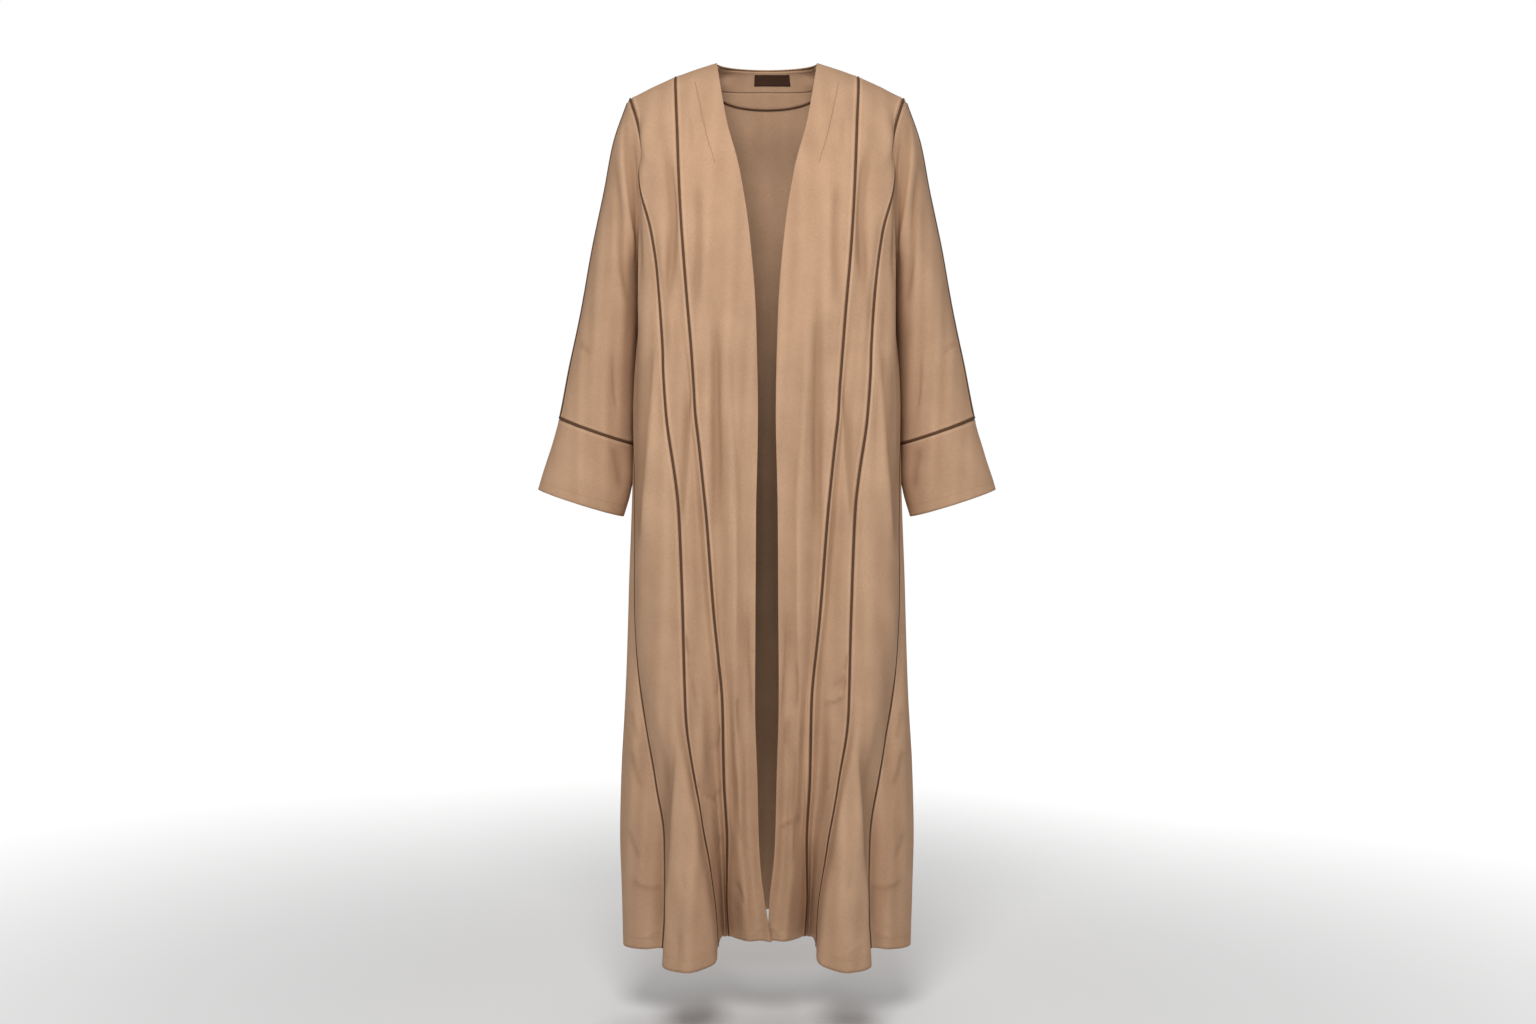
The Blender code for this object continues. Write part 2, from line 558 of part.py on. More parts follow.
def strip(name, centres, across, proud, half_width, half_depth, material, mirrored=False, closed=False):
    """A four-sided piping along the centres, as wide as the seam it fills and proud of the cloth."""
    count = len(centres)
    sides = []
    for width, depth in ((-1, 1), (1, 1), (1, -1), (-1, -1)):
        sides.append(centres + width * half_width * across + depth * half_depth * proud)
    points = np.stack(sides, axis=1).reshape(-1, 3)
    faces = []
    for i in range(count if closed else count - 1):
        j = (i + 1) % count
        for k in range(4):
            m = (k + 1) % 4
            faces.append((4 * i + k, 4 * i + m, 4 * j + m, 4 * j + k))
    if not closed:
        faces.append((3, 2, 1, 0))
        last = 4 * (count - 1)
        faces.append((last, last + 1, last + 2, last + 3))
    return new_object(name, points, faces, material, mirrored)


def make_material(name, colour, roughness):
    material = bpy.data.materials.new(name)
    material.use_nodes = True
    shader = material.node_tree.nodes["Principled BSDF"]
    shader.inputs["Base Color"].default_value = colour
    shader.inputs["Roughness"].default_value = roughness
    shader.inputs["Metallic"].default_value = 0.0
    material.diffuse_color = colour
    return material


def clear_scene():
    for thing in list(bpy.data.objects):
        bpy.data.objects.remove(thing, do_unlink=True)


# Front and back panels

def side_name(name, mirrored):
    return f"{name}_{'left' if mirrored else 'right'}"


def front_panel(name, strands, levels, columns, trims_at, material, mirrored, top):
    """One front panel: a row at each level, moved in from its seams."""
    def ring(level, places):
        return front_ring(strands, level, places)

    rows, normals = [], []
    for level in levels:
        last_place = SEAM_C_PLACE + 1 if level > UNDERARM_DOWN else SEAM_C_PLACE
        if level <= SEAM_B_LEVEL:
            last_place = SEAM_B_PLACE
        points, facing = body_row(ring, level, columns, top, last_place, trims_at(ring, level))
        if level == 0:
            facing = flat_top(facing)
        rows.append(points)
        normals.append(facing)
    wall(side_name(name, mirrored), np.array(rows), np.array(normals), CLOTH, material, mirrored)


def centre_trims(ring, level):
    return 0.0, slanted(SEAM_TRIM, ring, max(level, STEP), SEAM_A_PLACE)


def middle_trims(ring, level):
    inner = slanted(SEAM_TRIM, ring, max(level, STEP), SEAM_A_PLACE)
    outer = slanted(SEAM_TRIM, ring, level, SEAM_B_PLACE) if level > SEAM_B_LEVEL + STEP else 0.0
    return inner, outer


def side_trims(ring, level):
    inner = slanted(SEAM_TRIM, ring, level, SEAM_B_PLACE)
    outer = slanted(SEAM_TRIM, ring, level, SEAM_C_PLACE) if level > UNDERARM_DOWN + 2 * STEP else 0.0
    return inner, outer


def build_fronts(cloth):
    side_levels = [level for level in FRONT_LEVELS if level >= SIDE_START_LEVEL]
    for strands, mirrored in ((RIGHT_STRANDS, False), (LEFT_STRANDS, True)):
        columns = CENTRE_COLUMNS
        front_panel("front_centre", strands, FRONT_LEVELS, columns, centre_trims, cloth, mirrored, 0.0)
        columns = SEAM_A_PLACE + MIDDLE_COLUMNS
        front_panel("front_middle", strands, FRONT_LEVELS, columns, middle_trims, cloth, mirrored, 0.0)
        columns = SEAM_B_PLACE + SIDE_COLUMNS
        front_panel("front_side", strands, side_levels, columns, side_trims, cloth, mirrored, SEAM_B_LEVEL)


def right_back_ring(level, places):
    return back_ring(RIGHT_STRANDS, level, places)


def build_back(cloth):
    """Builds the back and returns the middle points and normals of its wall."""
    rows, normals = [], []
    for level in BACK_LEVELS:
        trim = 0.0
        if level > UNDERARM_DOWN:
            trim = slanted(SEAM_TRIM, right_back_ring, level, 0)
        points, facing = body_row(right_back_ring, level, BACK_COLUMNS, 0.0, 2 * BACK_PLACES, (trim, trim))
        if level == 0:
            on_shoulder = np.abs(points[:, 0]) >= NECK_HALF_WIDTH - STEP
            facing[on_shoulder] = flat_top(facing[on_shoulder])
        rows.append(points)
        normals.append(facing)
    middle, normals = np.array(rows), np.array(normals)
    wall("back", middle, normals, CLOTH, cloth)
    return middle, normals


# Pipings of the body

def seam_piping(name, strands, levels, place, piping, mirrored):
    def ring(level, places):
        return front_ring(strands, level, places)

    centres, across, proud = [], [], []
    for level in levels:
        at = np.array([float(place)])
        last_place = SEAM_C_PLACE + 1 if level > UNDERARM_DOWN else SEAM_C_PLACE
        top = SEAM_B_LEVEL if place > SEAM_A_PLACE else 0.0
        normal = normals_of(ring, level, at, top, last_place)
        if level == levels[0] and top == 0.0:
            normal = flat_top(normal)
        before = ring(max(level - STEP, top), at)
        after = ring(min(level + STEP, HEM_LEVEL), at)
        along = unit(after - before)
        centres.append(ring(level, at)[0])
        proud.append(normal[0])
        across.append(unit(np.cross(normal, along))[0])
    strip(
        side_name(name, mirrored),
        np.array(centres),
        np.array(across),
        np.array(proud),
        PIPING_HALF_WIDTH,
        PIPING_HALF_DEPTH,
        piping,
        mirrored,
    )


def build_seam_pipings(piping):
    seam_b_start = SEAM_B_LEVEL + PIPING_END
    seam_c_start = UNDERARM_DOWN + PIPING_END
    seam_b_levels = [seam_b_start] + [level for level in FRONT_LEVELS if level > seam_b_start]
    seam_c_levels = [seam_c_start] + [level for level in FRONT_LEVELS if level > seam_c_start]
    for strands, mirrored in ((RIGHT_STRANDS, False), (LEFT_STRANDS, True)):
        seam_piping("piping_seam_a", strands, FRONT_LEVELS, SEAM_A_PLACE, piping, mirrored)
        seam_piping("piping_seam_b", strands, seam_b_levels, SEAM_B_PLACE, piping, mirrored)
        seam_piping("piping_side_seam", strands, seam_c_levels, SEAM_C_PLACE, piping, mirrored)


def armhole_loop():
    """Centres of the armhole's cord with the ways across it, all round the loop."""
    centres, across, proud = [], [], []
    for behind in (False, True):
        angles = ARMHOLE_ANGLES[:-1] if not behind else ARMHOLE_ANGLES[:0:-1]
        for angle in angles:
            centres.append(armhole_point(angle, behind))
            split = unit(into_body(angle, behind) - into_sleeve(angle))
            ahead = armhole_point(angle + 0.01, behind) - armhole_point(angle - 0.01, behind)
            along = unit(ahead) * (-1 if behind else 1)
            split = unit(split - along * np.dot(split, along))
            across.append(split)
            proud.append(np.cross(along, split))
    return np.array(centres), np.array(across), np.array(proud)


def build_armhole_cords(piping):
    centres, across, proud = armhole_loop()
    side = ARMHOLE_CORD / math.sqrt(2)
    for mirrored in (False, True):
        name = side_name("piping_armhole", mirrored)
        strip(name, centres, across, proud, side, side, piping, mirrored, closed=True)


# Sleeves and cuffs

def sleeve_values(row):
    """The sleeve's outer point, inner point, half depths and set-back at a place down the sleeve."""
    places = [section[0] for section in SLEEVE_SECTIONS]
    columns = [
        [value for item in section[1:] for value in (item if isinstance(item, tuple) else (item,))]
        for section in SLEEVE_SECTIONS
    ]
    found = [eased(places, [column[i] for column in columns], row) for i in range(len(columns[0]))]
    outer_out, outer_down, inner_out, inner_down, fore, back, behind = found
    outer = np.array([-outer_out, behind, -outer_down])
    inner = np.array([-inner_out, behind, -inner_down])
    return outer, inner, fore, back


def sleeve_ring_point(angle, row):
    outer, inner, fore, back = sleeve_values(row)
    depth = -fore if math.sin(angle) >= 0 else back
    swing = abs(math.sin(angle)) * depth
    point = (outer + inner) / 2 + (outer - inner) / 2 * math.cos(angle)
    return point + np.array([0.0, swing, 0.0])


def sleeve_point(angle, row):
    """A point of the right sleeve: angle 0 is its outer line, positive angles turn over its front."""
    point = sleeve_ring_point(angle, row)
    if row < ARMHOLE_BLEND:
        behind = math.sin(angle) < 0
        turn = abs(math.remainder(angle, 2 * math.pi))
        start = armhole_point(turn, behind) + ARMHOLE_TRIM * into_sleeve(turn)
        share = 1 - smooth_step(row / ARMHOLE_BLEND)
        point = point + (start - sleeve_ring_point(angle, 0.0)) * share
    return point


def sleeve_frame(angle, row):
    """A point of the sleeve with the ways round and down it and its outward normal."""
    top = max(row - SLEEVE_STEP, 0.0)
    bottom = min(row + SLEEVE_STEP, CUFF_HEM)
    around = unit(sleeve_point(angle + SLEEVE_STEP, row) - sleeve_point(angle - SLEEVE_STEP, row))
    down = unit(sleeve_point(angle, bottom) - sleeve_point(angle, top))
    normal = unit(np.cross(down, around))
    return sleeve_point(angle, row), around, down, normal


def overarm_angle(row):
    return OVERARM_TURN * min(row, 1.0)


def row_length(row):
    """How far the sleeve's outer line moves for one unit of row, for turning a length into rows."""
    low = max(row - SLEEVE_STEP, 0.0)
    high = min(row + SLEEVE_STEP, CUFF_HEM)
    step = sleeve_point(0.0, high) - sleeve_point(0.0, low)
    return np.linalg.norm(step) / (high - low)


def cuff_trim_rows():
    return CUFF_TRIM / (SLOWEST_SIDE * row_length(CUFF_SEAM))


def sleeve_panel(name, behind, cloth, mirrored):
    end = CUFF_SEAM - cuff_trim_rows()
    rows, normals = [], []
    for row in (0.0,) + SLEEVE_ROWS + (end,):
        _, _, fore, back = sleeve_values(row)
        depth = back if behind else fore
        seam = overarm_angle(row)
        start_trim = SEAM_TRIM / depth
        end_trim = UNDERARM_HALF_GAP / depth
        if behind:
            first, last = seam - start_trim, -math.pi + end_trim
        else:
            first, last = seam + start_trim, math.pi - end_trim
        points, facing = [], []
        for angle in np.linspace(first, last, ARMHOLE_STEPS + 1):
            point, _, _, normal = sleeve_frame(angle, row)
            points.append(point)
            facing.append(normal)
        rows.append(points)
        normals.append(facing)
    wall(side_name(name, mirrored), np.array(rows), np.array(normals), CLOTH, cloth, mirrored)


def cuff(cloth, mirrored):
    start = CUFF_SEAM + cuff_trim_rows()
    rows, normals = [], []
    for row in (start,) + CUFF_ROWS + (CUFF_HEM,):
        points, facing = [], []
        for k in range(CUFF_COLUMNS):
            point, _, _, normal = sleeve_frame(2 * math.pi * k / CUFF_COLUMNS, row)
            points.append(point)
            facing.append(normal)
        rows.append(points)
        normals.append(facing)
    middle, outward = np.array(rows), np.array(normals)
    wall(side_name("cuff", mirrored), middle, outward, CLOTH, cloth, mirrored, ring_closed=True)


def sleeve_pipings(piping, mirrored):
    frames = [sleeve_frame(2 * math.pi * k / CUFF_COLUMNS, CUFF_SEAM) for k in range(CUFF_COLUMNS)]
    strip(
        side_name("piping_cuff", mirrored),
        np.array([frame[0] for frame in frames]),
        np.array([np.cross(frame[1], frame[3]) for frame in frames]),
        np.array([frame[3] for frame in frames]),
        CUFF_PIPING_HALF_WIDTH,
        PIPING_HALF_DEPTH,
        piping,
        mirrored,
        closed=True,
    )
    end = CUFF_SEAM - cuff_trim_rows()
    frames = [sleeve_frame(overarm_angle(row), row) for row in (OVERARM_START,) + SLEEVE_ROWS + (end,)]
    strip(
        side_name("piping_overarm", mirrored),
        np.array([frame[0] for frame in frames]),
        np.array([frame[1] for frame in frames]),
        np.array([frame[3] for frame in frames]),
        PIPING_HALF_WIDTH,
        PIPING_HALF_DEPTH,
        piping,
        mirrored,
    )


def build_sleeves(cloth, piping):
    for mirrored in (False, True):
        sleeve_panel("sleeve_front", False, cloth, mirrored)
        sleeve_panel("sleeve_back", True, cloth, mirrored)
        cuff(cloth, mirrored)
        sleeve_pipings(piping, mirrored)


# Inside the back neck

def on_grid(grid, place, level):
    """A value of the back's own grid, between its rows and columns, so that what lies on it stays clear."""
    row = np.clip(np.searchsorted(BACK_LEVELS, level) - 1, 0, len(BACK_LEVELS) - 2)
    down = (level - BACK_LEVELS[row]) / (BACK_LEVELS[row + 1] - BACK_LEVELS[row])
    column = int(np.clip(np.searchsorted(BACK_COLUMNS, place) - 1, 0, len(BACK_COLUMNS) - 2))
    across = (place - BACK_COLUMNS[column]) / (BACK_COLUMNS[column + 1] - BACK_COLUMNS[column])
    upper = grid[row, column] * (1 - across) + grid[row, column + 1] * across
    lower = grid[row + 1, column] * (1 - across) + grid[row + 1, column + 1] * across
    return upper * (1 - down) + lower * down


def inside_back(back, place, level, depth):
    """A point this far inside the middle of the back's cloth, and the normal there."""
    middle, normals = back
    normal = unit(on_grid(normals, place, level))
    return on_grid(middle, place, level) - normal * depth, normal


def facing_depth(place):
    share = min(abs(place - BACK_PLACES) / FACING_CURVE_PLACES, 1.0)
    return FACING_DEPTH - (FACING_DEPTH - FACING_SIDE_DEPTH) * share**2


def lining_wall(name, back, places, levels_at, thickness, depth, material):
    """A wall inside the back, with a row of points for each of the levels that levels_at gives."""
    rows, normals = [], []
    for i in range(len(levels_at(places[0]))):
        found = [inside_back(back, place, levels_at(place)[i], depth) for place in places]
        rows.append([point for point, _ in found])
        normals.append([normal for _, normal in found])
    wall(name, np.array(rows), np.array(normals), thickness, material)


def build_back_neck(back, cloth, piping, label):
    depth = CLOTH / 2 + LINING_GAP + TRIM_CLOTH / 2
    back_rows = ARMHOLE_LEVELS[1:4]

    def band_levels(place):
        return BAND_TOP, back_rows[0], back_rows[1], BAND_DEPTH

    def facing_levels(place):
        end = facing_depth(place) - BINDING_HALF_WIDTH - GAP
        return BAND_DEPTH + GAP, min(back_rows[2], end - STEP), end

    def label_levels(place):
        return LABEL_TOP, back_rows[1], LABEL_BOTTOM

    lining_wall("back_neck_band", back, FACING_COLUMNS, band_levels, TRIM_CLOTH, depth, cloth)
    lining_wall("back_facing", back, FACING_COLUMNS, facing_levels, TRIM_CLOTH, depth, cloth)
    binding_depth = CLOTH / 2 + LINING_GAP + BINDING_HALF_DEPTH
    found = [inside_back(back, place, facing_depth(place), binding_depth) for place in FACING_COLUMNS]
    centres = np.array([point for point, _ in found])
    proud = np.array([normal for _, normal in found])
    along = unit(np.gradient(centres, axis=0))
    across = unit(np.cross(proud, along))
    strip("facing_binding", centres, across, proud, BINDING_HALF_WIDTH, BINDING_HALF_DEPTH, piping)
    label_depth = CLOTH / 2 + LINING_GAP + TRIM_CLOTH + LINING_GAP + LABEL_CLOTH / 2
    label_out = (LABEL_MIDDLE - LABEL_HALF_WIDTH, LABEL_MIDDLE + LABEL_HALF_WIDTH)
    row = BACK_LEVELS.index(back_rows[1])
    first, last = np.interp(label_out, back[0][row, :, 0], BACK_COLUMNS)
    between = [place for place in BACK_COLUMNS if first < place < last]
    places = [first, *between, last]
    lining_wall("label", back, places, label_levels, LABEL_CLOTH, label_depth, label)


def main():
    clear_scene()
    cloth = make_material("cloth", CLOTH_COLOUR, 0.85)
    piping = make_material("piping", PIPING_COLOUR, 0.6)
    label = make_material("label", LABEL_COLOUR, 0.6)
    build_fronts(cloth)
    back = build_back(cloth)
    build_seam_pipings(piping)
    build_armhole_cords(piping)
    build_sleeves(cloth, piping)
    build_back_neck(back, cloth, piping, label)


main()
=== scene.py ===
"""Abaya cloak: the cloth of each panel with its folds and creases, round piping, stitching and a bare label.

Metres, +Z up, the front faces -Y, as in the part's source, whose tables these repeat. "out" is the distance
from the middle, "fore" the distance in front of the shoulder line, "down" the distance below the neck points.
"""

import functools
import math

import bpy
import mathutils
import numpy as np
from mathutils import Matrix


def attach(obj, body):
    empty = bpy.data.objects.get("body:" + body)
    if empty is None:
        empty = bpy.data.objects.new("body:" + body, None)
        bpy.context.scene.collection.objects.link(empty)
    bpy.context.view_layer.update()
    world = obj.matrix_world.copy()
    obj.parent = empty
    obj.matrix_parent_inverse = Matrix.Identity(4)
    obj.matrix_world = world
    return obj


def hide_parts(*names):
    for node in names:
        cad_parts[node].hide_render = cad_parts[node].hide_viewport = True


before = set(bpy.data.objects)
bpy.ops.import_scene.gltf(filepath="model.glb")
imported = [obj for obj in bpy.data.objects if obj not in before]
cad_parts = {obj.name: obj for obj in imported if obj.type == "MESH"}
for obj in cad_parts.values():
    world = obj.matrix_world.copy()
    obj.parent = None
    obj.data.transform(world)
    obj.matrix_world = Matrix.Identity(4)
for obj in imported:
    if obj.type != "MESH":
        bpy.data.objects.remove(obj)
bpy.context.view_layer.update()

SIDES = ("right", "left")

# Neck and shoulder
NECK_HALF_WIDTH = 0.0787
NECK_DEPTH = 0.060
NECK_DROP = 0.001
SHOULDER_HALF_WIDTH = 0.2147
SHOULDER_DROP = 0.056
SHOULDER_ROUND = 0.0045
YOKE_DEPTH = 0.18
TOP_EASE = 0.03

# Armhole: an upright loop from the shoulder tip round the underarm
UNDERARM_DOWN = 0.300
UNDERARM_OUT = 0.1995
ARMHOLE_SAG = 0.0196
ARMHOLE_FORE = 0.066
ARMHOLE_BACK = 0.075
ARMHOLE_MIDDLE = (SHOULDER_DROP + UNDERARM_DOWN) / 2
ARMHOLE_HALF_HEIGHT = (UNDERARM_DOWN - SHOULDER_DROP) / 2
ARMHOLE_STEPS = 12
SEAM_B_STEP = 5

# Hem
HEM_LEVEL = 1.40
HEM_FROM = 1.28

# Front centre panel: a row is a level, a column a fold or seam, each as (out, fore)
CENTRE_STRANDS = ("edge", "centre_1", "centre_2", "centre_3", "seam_a")
CENTRE_HEM = (1.378, 1.377, 1.376, 1.377, 1.380)
CENTRE_SECTIONS = (
    (0.00, (0.0787, 0.000), (0.0950, 0.000), (0.1110, 0.000), (0.1270, 0.000), (0.1431, 0.000)),
    (0.10, (0.0615, 0.088), (0.0800, 0.088), (0.0980, 0.089), (0.1180, 0.088), (0.1377, 0.087)),
    (0.18, (0.0409, 0.115), (0.0640, 0.117), (0.0880, 0.118), (0.1110, 0.117), (0.1341, 0.115)),
    (0.28, (0.0259, 0.134), (0.0500, 0.138), (0.0760, 0.140), (0.1019, 0.139), (0.1279, 0.136)),
    (0.40, (0.0167, 0.134), (0.0400, 0.138), (0.0640, 0.138), (0.0900, 0.137), (0.1185, 0.135)),
    (0.55, (0.0137, 0.127), (0.0350, 0.131), (0.0560, 0.131), (0.0790, 0.124), (0.1073, 0.127)),
    (0.70, (0.0165, 0.119), (0.0350, 0.120), (0.0520, 0.124), (0.0764, 0.115), (0.0928, 0.119)),
    (0.85, (0.0172, 0.112), (0.0322, 0.107), (0.0482, 0.115), (0.0740, 0.104), (0.0819, 0.109)),
    (1.00, (0.0182, 0.100), (0.0323, 0.094), (0.0492, 0.103), (0.0616, 0.091), (0.0686, 0.095)),
    (1.12, (0.0148, 0.086), (0.0310, 0.079), (0.0447, 0.089), (0.0559, 0.077), (0.0665, 0.073)),
    (1.22, (0.0119, 0.075), (0.0264, 0.068), (0.0403, 0.077), (0.0531, 0.063), (0.0626, 0.055)),
    (1.31, (0.0046, 0.065), (0.0187, 0.058), (0.0342, 0.067), (0.0500, 0.050), (0.0633, 0.032)),
    (1.40, (-0.0068, 0.054), (0.0110, 0.048), (0.0290, 0.057), (0.0460, 0.038), (0.0596, 0.012)),
)
# The left front's edge stops short of the middle at the hem and lies behind the right front's
LEFT_EDGE_HEM = (0.0010, 0.044)

# Front middle panel, out to the armhole above and to seam B below
MIDDLE_STRANDS = ("middle_1", "middle_2")
MIDDLE_HEM = (1.386, 1.378)
MIDDLE_SECTIONS = (
    (0.00, (0.1660, 0.000), (0.1900, 0.000)),
    (0.10, (0.1655, 0.083), (0.1934, 0.072)),
    (0.18, (0.1595, 0.112), (0.1782, 0.105)),
    (0.28, (0.1463, 0.129), (0.1618, 0.127)),
    (0.40, (0.1325, 0.128), (0.1463, 0.129)),
    (0.55, (0.1161, 0.117), (0.1330, 0.123)),
    (0.70, (0.1090, 0.106), (0.1225, 0.112)),
    (0.85, (0.0950, 0.099), (0.1130, 0.106)),
    (1.00, (0.0835, 0.086), (0.1045, 0.099)),
    (1.12, (0.0775, 0.065), (0.0950, 0.089)),
    (1.22, (0.0718, 0.046), (0.0830, 0.072)),
    (1.31, (0.0690, 0.017), (0.0768, 0.044)),
    (1.40, (0.0660, -0.006), (0.0725, 0.028)),
)

# Front side panel, from seam B out to the armhole above and to the side seam below
SIDE_STRANDS = ("seam_b", "side_1", "side_2", "side_3", "side_4")
SIDE_HEM = (1.382, 1.394, 1.400, 1.398, 1.394)
SIDE_SECTIONS = (
    (0.18, (0.1948, 0.085), (0.1942, 0.082), (0.1932, 0.079), (0.1918, 0.076), (0.1898, 0.072)),
    (0.28, (0.1743, 0.118), (0.1815, 0.113), (0.1890, 0.104), (0.1951, 0.088), (0.1912, 0.062)),
    (0.33, (0.1670, 0.118), (0.1765, 0.113), (0.1870, 0.104), (0.1957, 0.087), (0.1900, 0.047)),
    (0.40, (0.1610, 0.117), (0.1720, 0.114), (0.1850, 0.105), (0.1958, 0.087), (0.1950, 0.048)),
    (0.55, (0.1521, 0.118), (0.1673, 0.108), (0.1820, 0.105), (0.1956, 0.085), (0.2030, 0.057)),
    (0.70, (0.1345, 0.115), (0.1608, 0.113), (0.1831, 0.100), (0.1960, 0.082), (0.2030, 0.060)),
    (0.85, (0.1291, 0.112), (0.1516, 0.120), (0.1765, 0.108), (0.1950, 0.085), (0.2030, 0.062)),
    (1.00, (0.1254, 0.110), (0.1452, 0.122), (0.1640, 0.112), (0.1800, 0.088), (0.1890, 0.068)),
    (1.12, (0.1112, 0.105), (0.1234, 0.128), (0.1400, 0.120), (0.1560, 0.092), (0.1660, 0.074)),
    (1.22, (0.0937, 0.095), (0.1080, 0.132), (0.1325, 0.131), (0.1490, 0.102), (0.1545, 0.077)),
    (1.31, (0.0825, 0.075), (0.0930, 0.127), (0.1240, 0.142), (0.1510, 0.117), (0.1550, 0.082)),
    (1.40, (0.0770, 0.062), (0.0830, 0.118), (0.1190, 0.141), (0.1570, 0.124), (0.1610, 0.088)),
)

# Side seam and back, from the side seam round to the middle of the back
BACK_STRANDS = ("seam_c", "flank", "side", "back_side", "back_3", "back_2", "back_1", "back_middle")
BACK_HEM = (1.390, 1.395, 1.400, 1.400, 1.398, 1.396, 1.393, 1.387)
BACK_LOWER_SECTIONS = (
    (0.330, (0.1870, 0.003), (0.1875, -0.012), (0.1890, -0.042), (0.1830, -0.078)),
    (0.40, (0.1990, 0.012), (0.2000, -0.006), (0.1995, -0.038), (0.1880, -0.078)),
    (0.55, (0.2086, 0.030), (0.2088, 0.010), (0.2065, -0.025), (0.1950, -0.075)),
    (0.70, (0.2060, 0.040), (0.2120, 0.015), (0.2131, -0.015), (0.2000, -0.076)),
    (0.85, (0.2067, 0.040), (0.2160, 0.018), (0.2194, -0.012), (0.2060, -0.082)),
    (1.00, (0.1938, 0.050), (0.2120, 0.038), (0.2242, -0.005), (0.2120, -0.088)),
    (1.12, (0.1732, 0.060), (0.2050, 0.047), (0.2300, 0.000), (0.2170, -0.080)),
    (1.22, (0.1600, 0.055), (0.1960, 0.048), (0.2318, 0.000), (0.2190, -0.082)),
    (1.31, (0.1580, 0.050), (0.1950, 0.040), (0.2295, -0.003), (0.2180, -0.083)),
    (1.40, (0.1630, 0.045), (0.1950, 0.034), (0.2255, 0.000), (0.2160, -0.085)),
)
BACK_UPPER_SECTIONS = (
    (0.00, (0.2030, 0.000), (0.1880, 0.000), (0.1660, 0.000)),
    (0.10, (0.1910, -0.073), (0.1840, -0.078), (0.1720, -0.083)),
    (0.18, (0.1840, -0.085), (0.1790, -0.091), (0.1690, -0.098)),
    (0.28, (0.1925, -0.052), (0.1925, -0.064), (0.1830, -0.086)),
)
BACK_SECTIONS = (
    (0.00, (0.1200, 0.000), (0.0787, 0.000), (0.0450, -0.049), (0.0000, -0.060)),
    (0.10, (0.1500, -0.083), (0.1020, -0.091), (0.0520, -0.090), (0.0000, -0.085)),
    (0.18, (0.1480, -0.106), (0.1060, -0.113), (0.0540, -0.113), (0.0000, -0.108)),
    (0.28, (0.1540, -0.106), (0.1080, -0.116), (0.0550, -0.118), (0.0000, -0.111)),
    (0.40, (0.1560, -0.105), (0.1080, -0.109), (0.0550, -0.115), (0.0000, -0.104)),
    (0.55, (0.1600, -0.107), (0.1100, -0.104), (0.0560, -0.117), (0.0000, -0.101)),
    (0.70, (0.1640, -0.114), (0.1120, -0.104), (0.0570, -0.125), (0.0000, -0.104)),
    (0.85, (0.1690, -0.119), (0.1150, -0.112), (0.0590, -0.137), (0.0000, -0.116)),
    (1.00, (0.1730, -0.129), (0.1180, -0.122), (0.0600, -0.150), (0.0000, -0.130)),
    (1.12, (0.1755, -0.137), (0.1200, -0.132), (0.0610, -0.164), (0.0000, -0.144)),
    (1.22, (0.1765, -0.143), (0.1210, -0.140), (0.0620, -0.175), (0.0000, -0.155)),
    (1.31, (0.1770, -0.148), (0.1220, -0.147), (0.0620, -0.184), (0.0000, -0.165)),
    (1.40, (0.1770, -0.152), (0.1220, -0.153), (0.0620, -0.191), (0.0000, -0.172)),
)
# The side seam turns under the arm before it runs down
UNDERARM_TURN = (0.306, (0.1935, 0.001))

# Sleeve: a row is a place down the sleeve, with its outer and inner points as (out, down), its half
# depths before and behind, and how far behind the shoulder line its middle lies
SLEEVE_SECTIONS = (
    (0.00, (0.2147, 0.056), (0.1995, 0.300), 0.066, 0.075, 0.000),
    (0.14, (0.2400, 0.127), (0.2015, 0.325), 0.072, 0.076, 0.005),
    (0.28, (0.2544, 0.199), (0.2022, 0.362), 0.072, 0.074, 0.009),
    (0.46, (0.2750, 0.294), (0.2048, 0.412), 0.068, 0.069, 0.013),
    (0.64, (0.2926, 0.389), (0.2082, 0.466), 0.062, 0.063, 0.017),
    (0.82, (0.3120, 0.475), (0.2116, 0.532), 0.057, 0.058, 0.020),
    (1.00, (0.3290, 0.557), (0.2128, 0.598), 0.054, 0.055, 0.020),
    (1.20, (0.3460, 0.614), (0.2130, 0.644), 0.051, 0.052, 0.020),
    (1.30, (0.3550, 0.643), (0.2185, 0.678), 0.049, 0.050, 0.020),
    (1.40, (0.3640, 0.671), (0.2290, 0.714), 0.046, 0.047, 0.020),
)

# The photograph's camera, level with the chest and looking straight ahead
CAMERA_DISTANCE = 3.1
CAMERA_HEIGHT = -0.3577
PIXEL = 0.00159
MIDDLE_PX = 767.0
HORIZON_PX = 290.0
MIRROR_PX = 2 * MIDDLE_PX

# Cloth and trim, in metres
CLOTH = 0.0014
TRIM_CLOTH = 0.0010
TUCK = 0.0006
ARMHOLE_TUCK = 0.0010
HEM_TURN = 0.020
HEM_EXTRA = 0.0008
PIPING_RADIUS = 0.0020
# The overarm cord stands this much further out of its seam than the others
OVERARM_LIFT = 0.0011
CUFF_PIPING_RADIUS = 0.0023
BINDING_RADIUS = 0.0013
SEAM_DIP = 0.0008
SEAM_DIP_WIDTH = 0.0018
SEAM_SWELL = 0.0006
SEAM_SWELL_AT = 0.0042
# Painted highlight on the swell beside each seam; the dip beside the seam gets painted shade
SEAM_PAINTED_HIGHLIGHT = 0.55
STITCH_PITCH = 0.0034
STITCH_LENGTH = 0.0024
STITCH_RADIUS = 0.00024

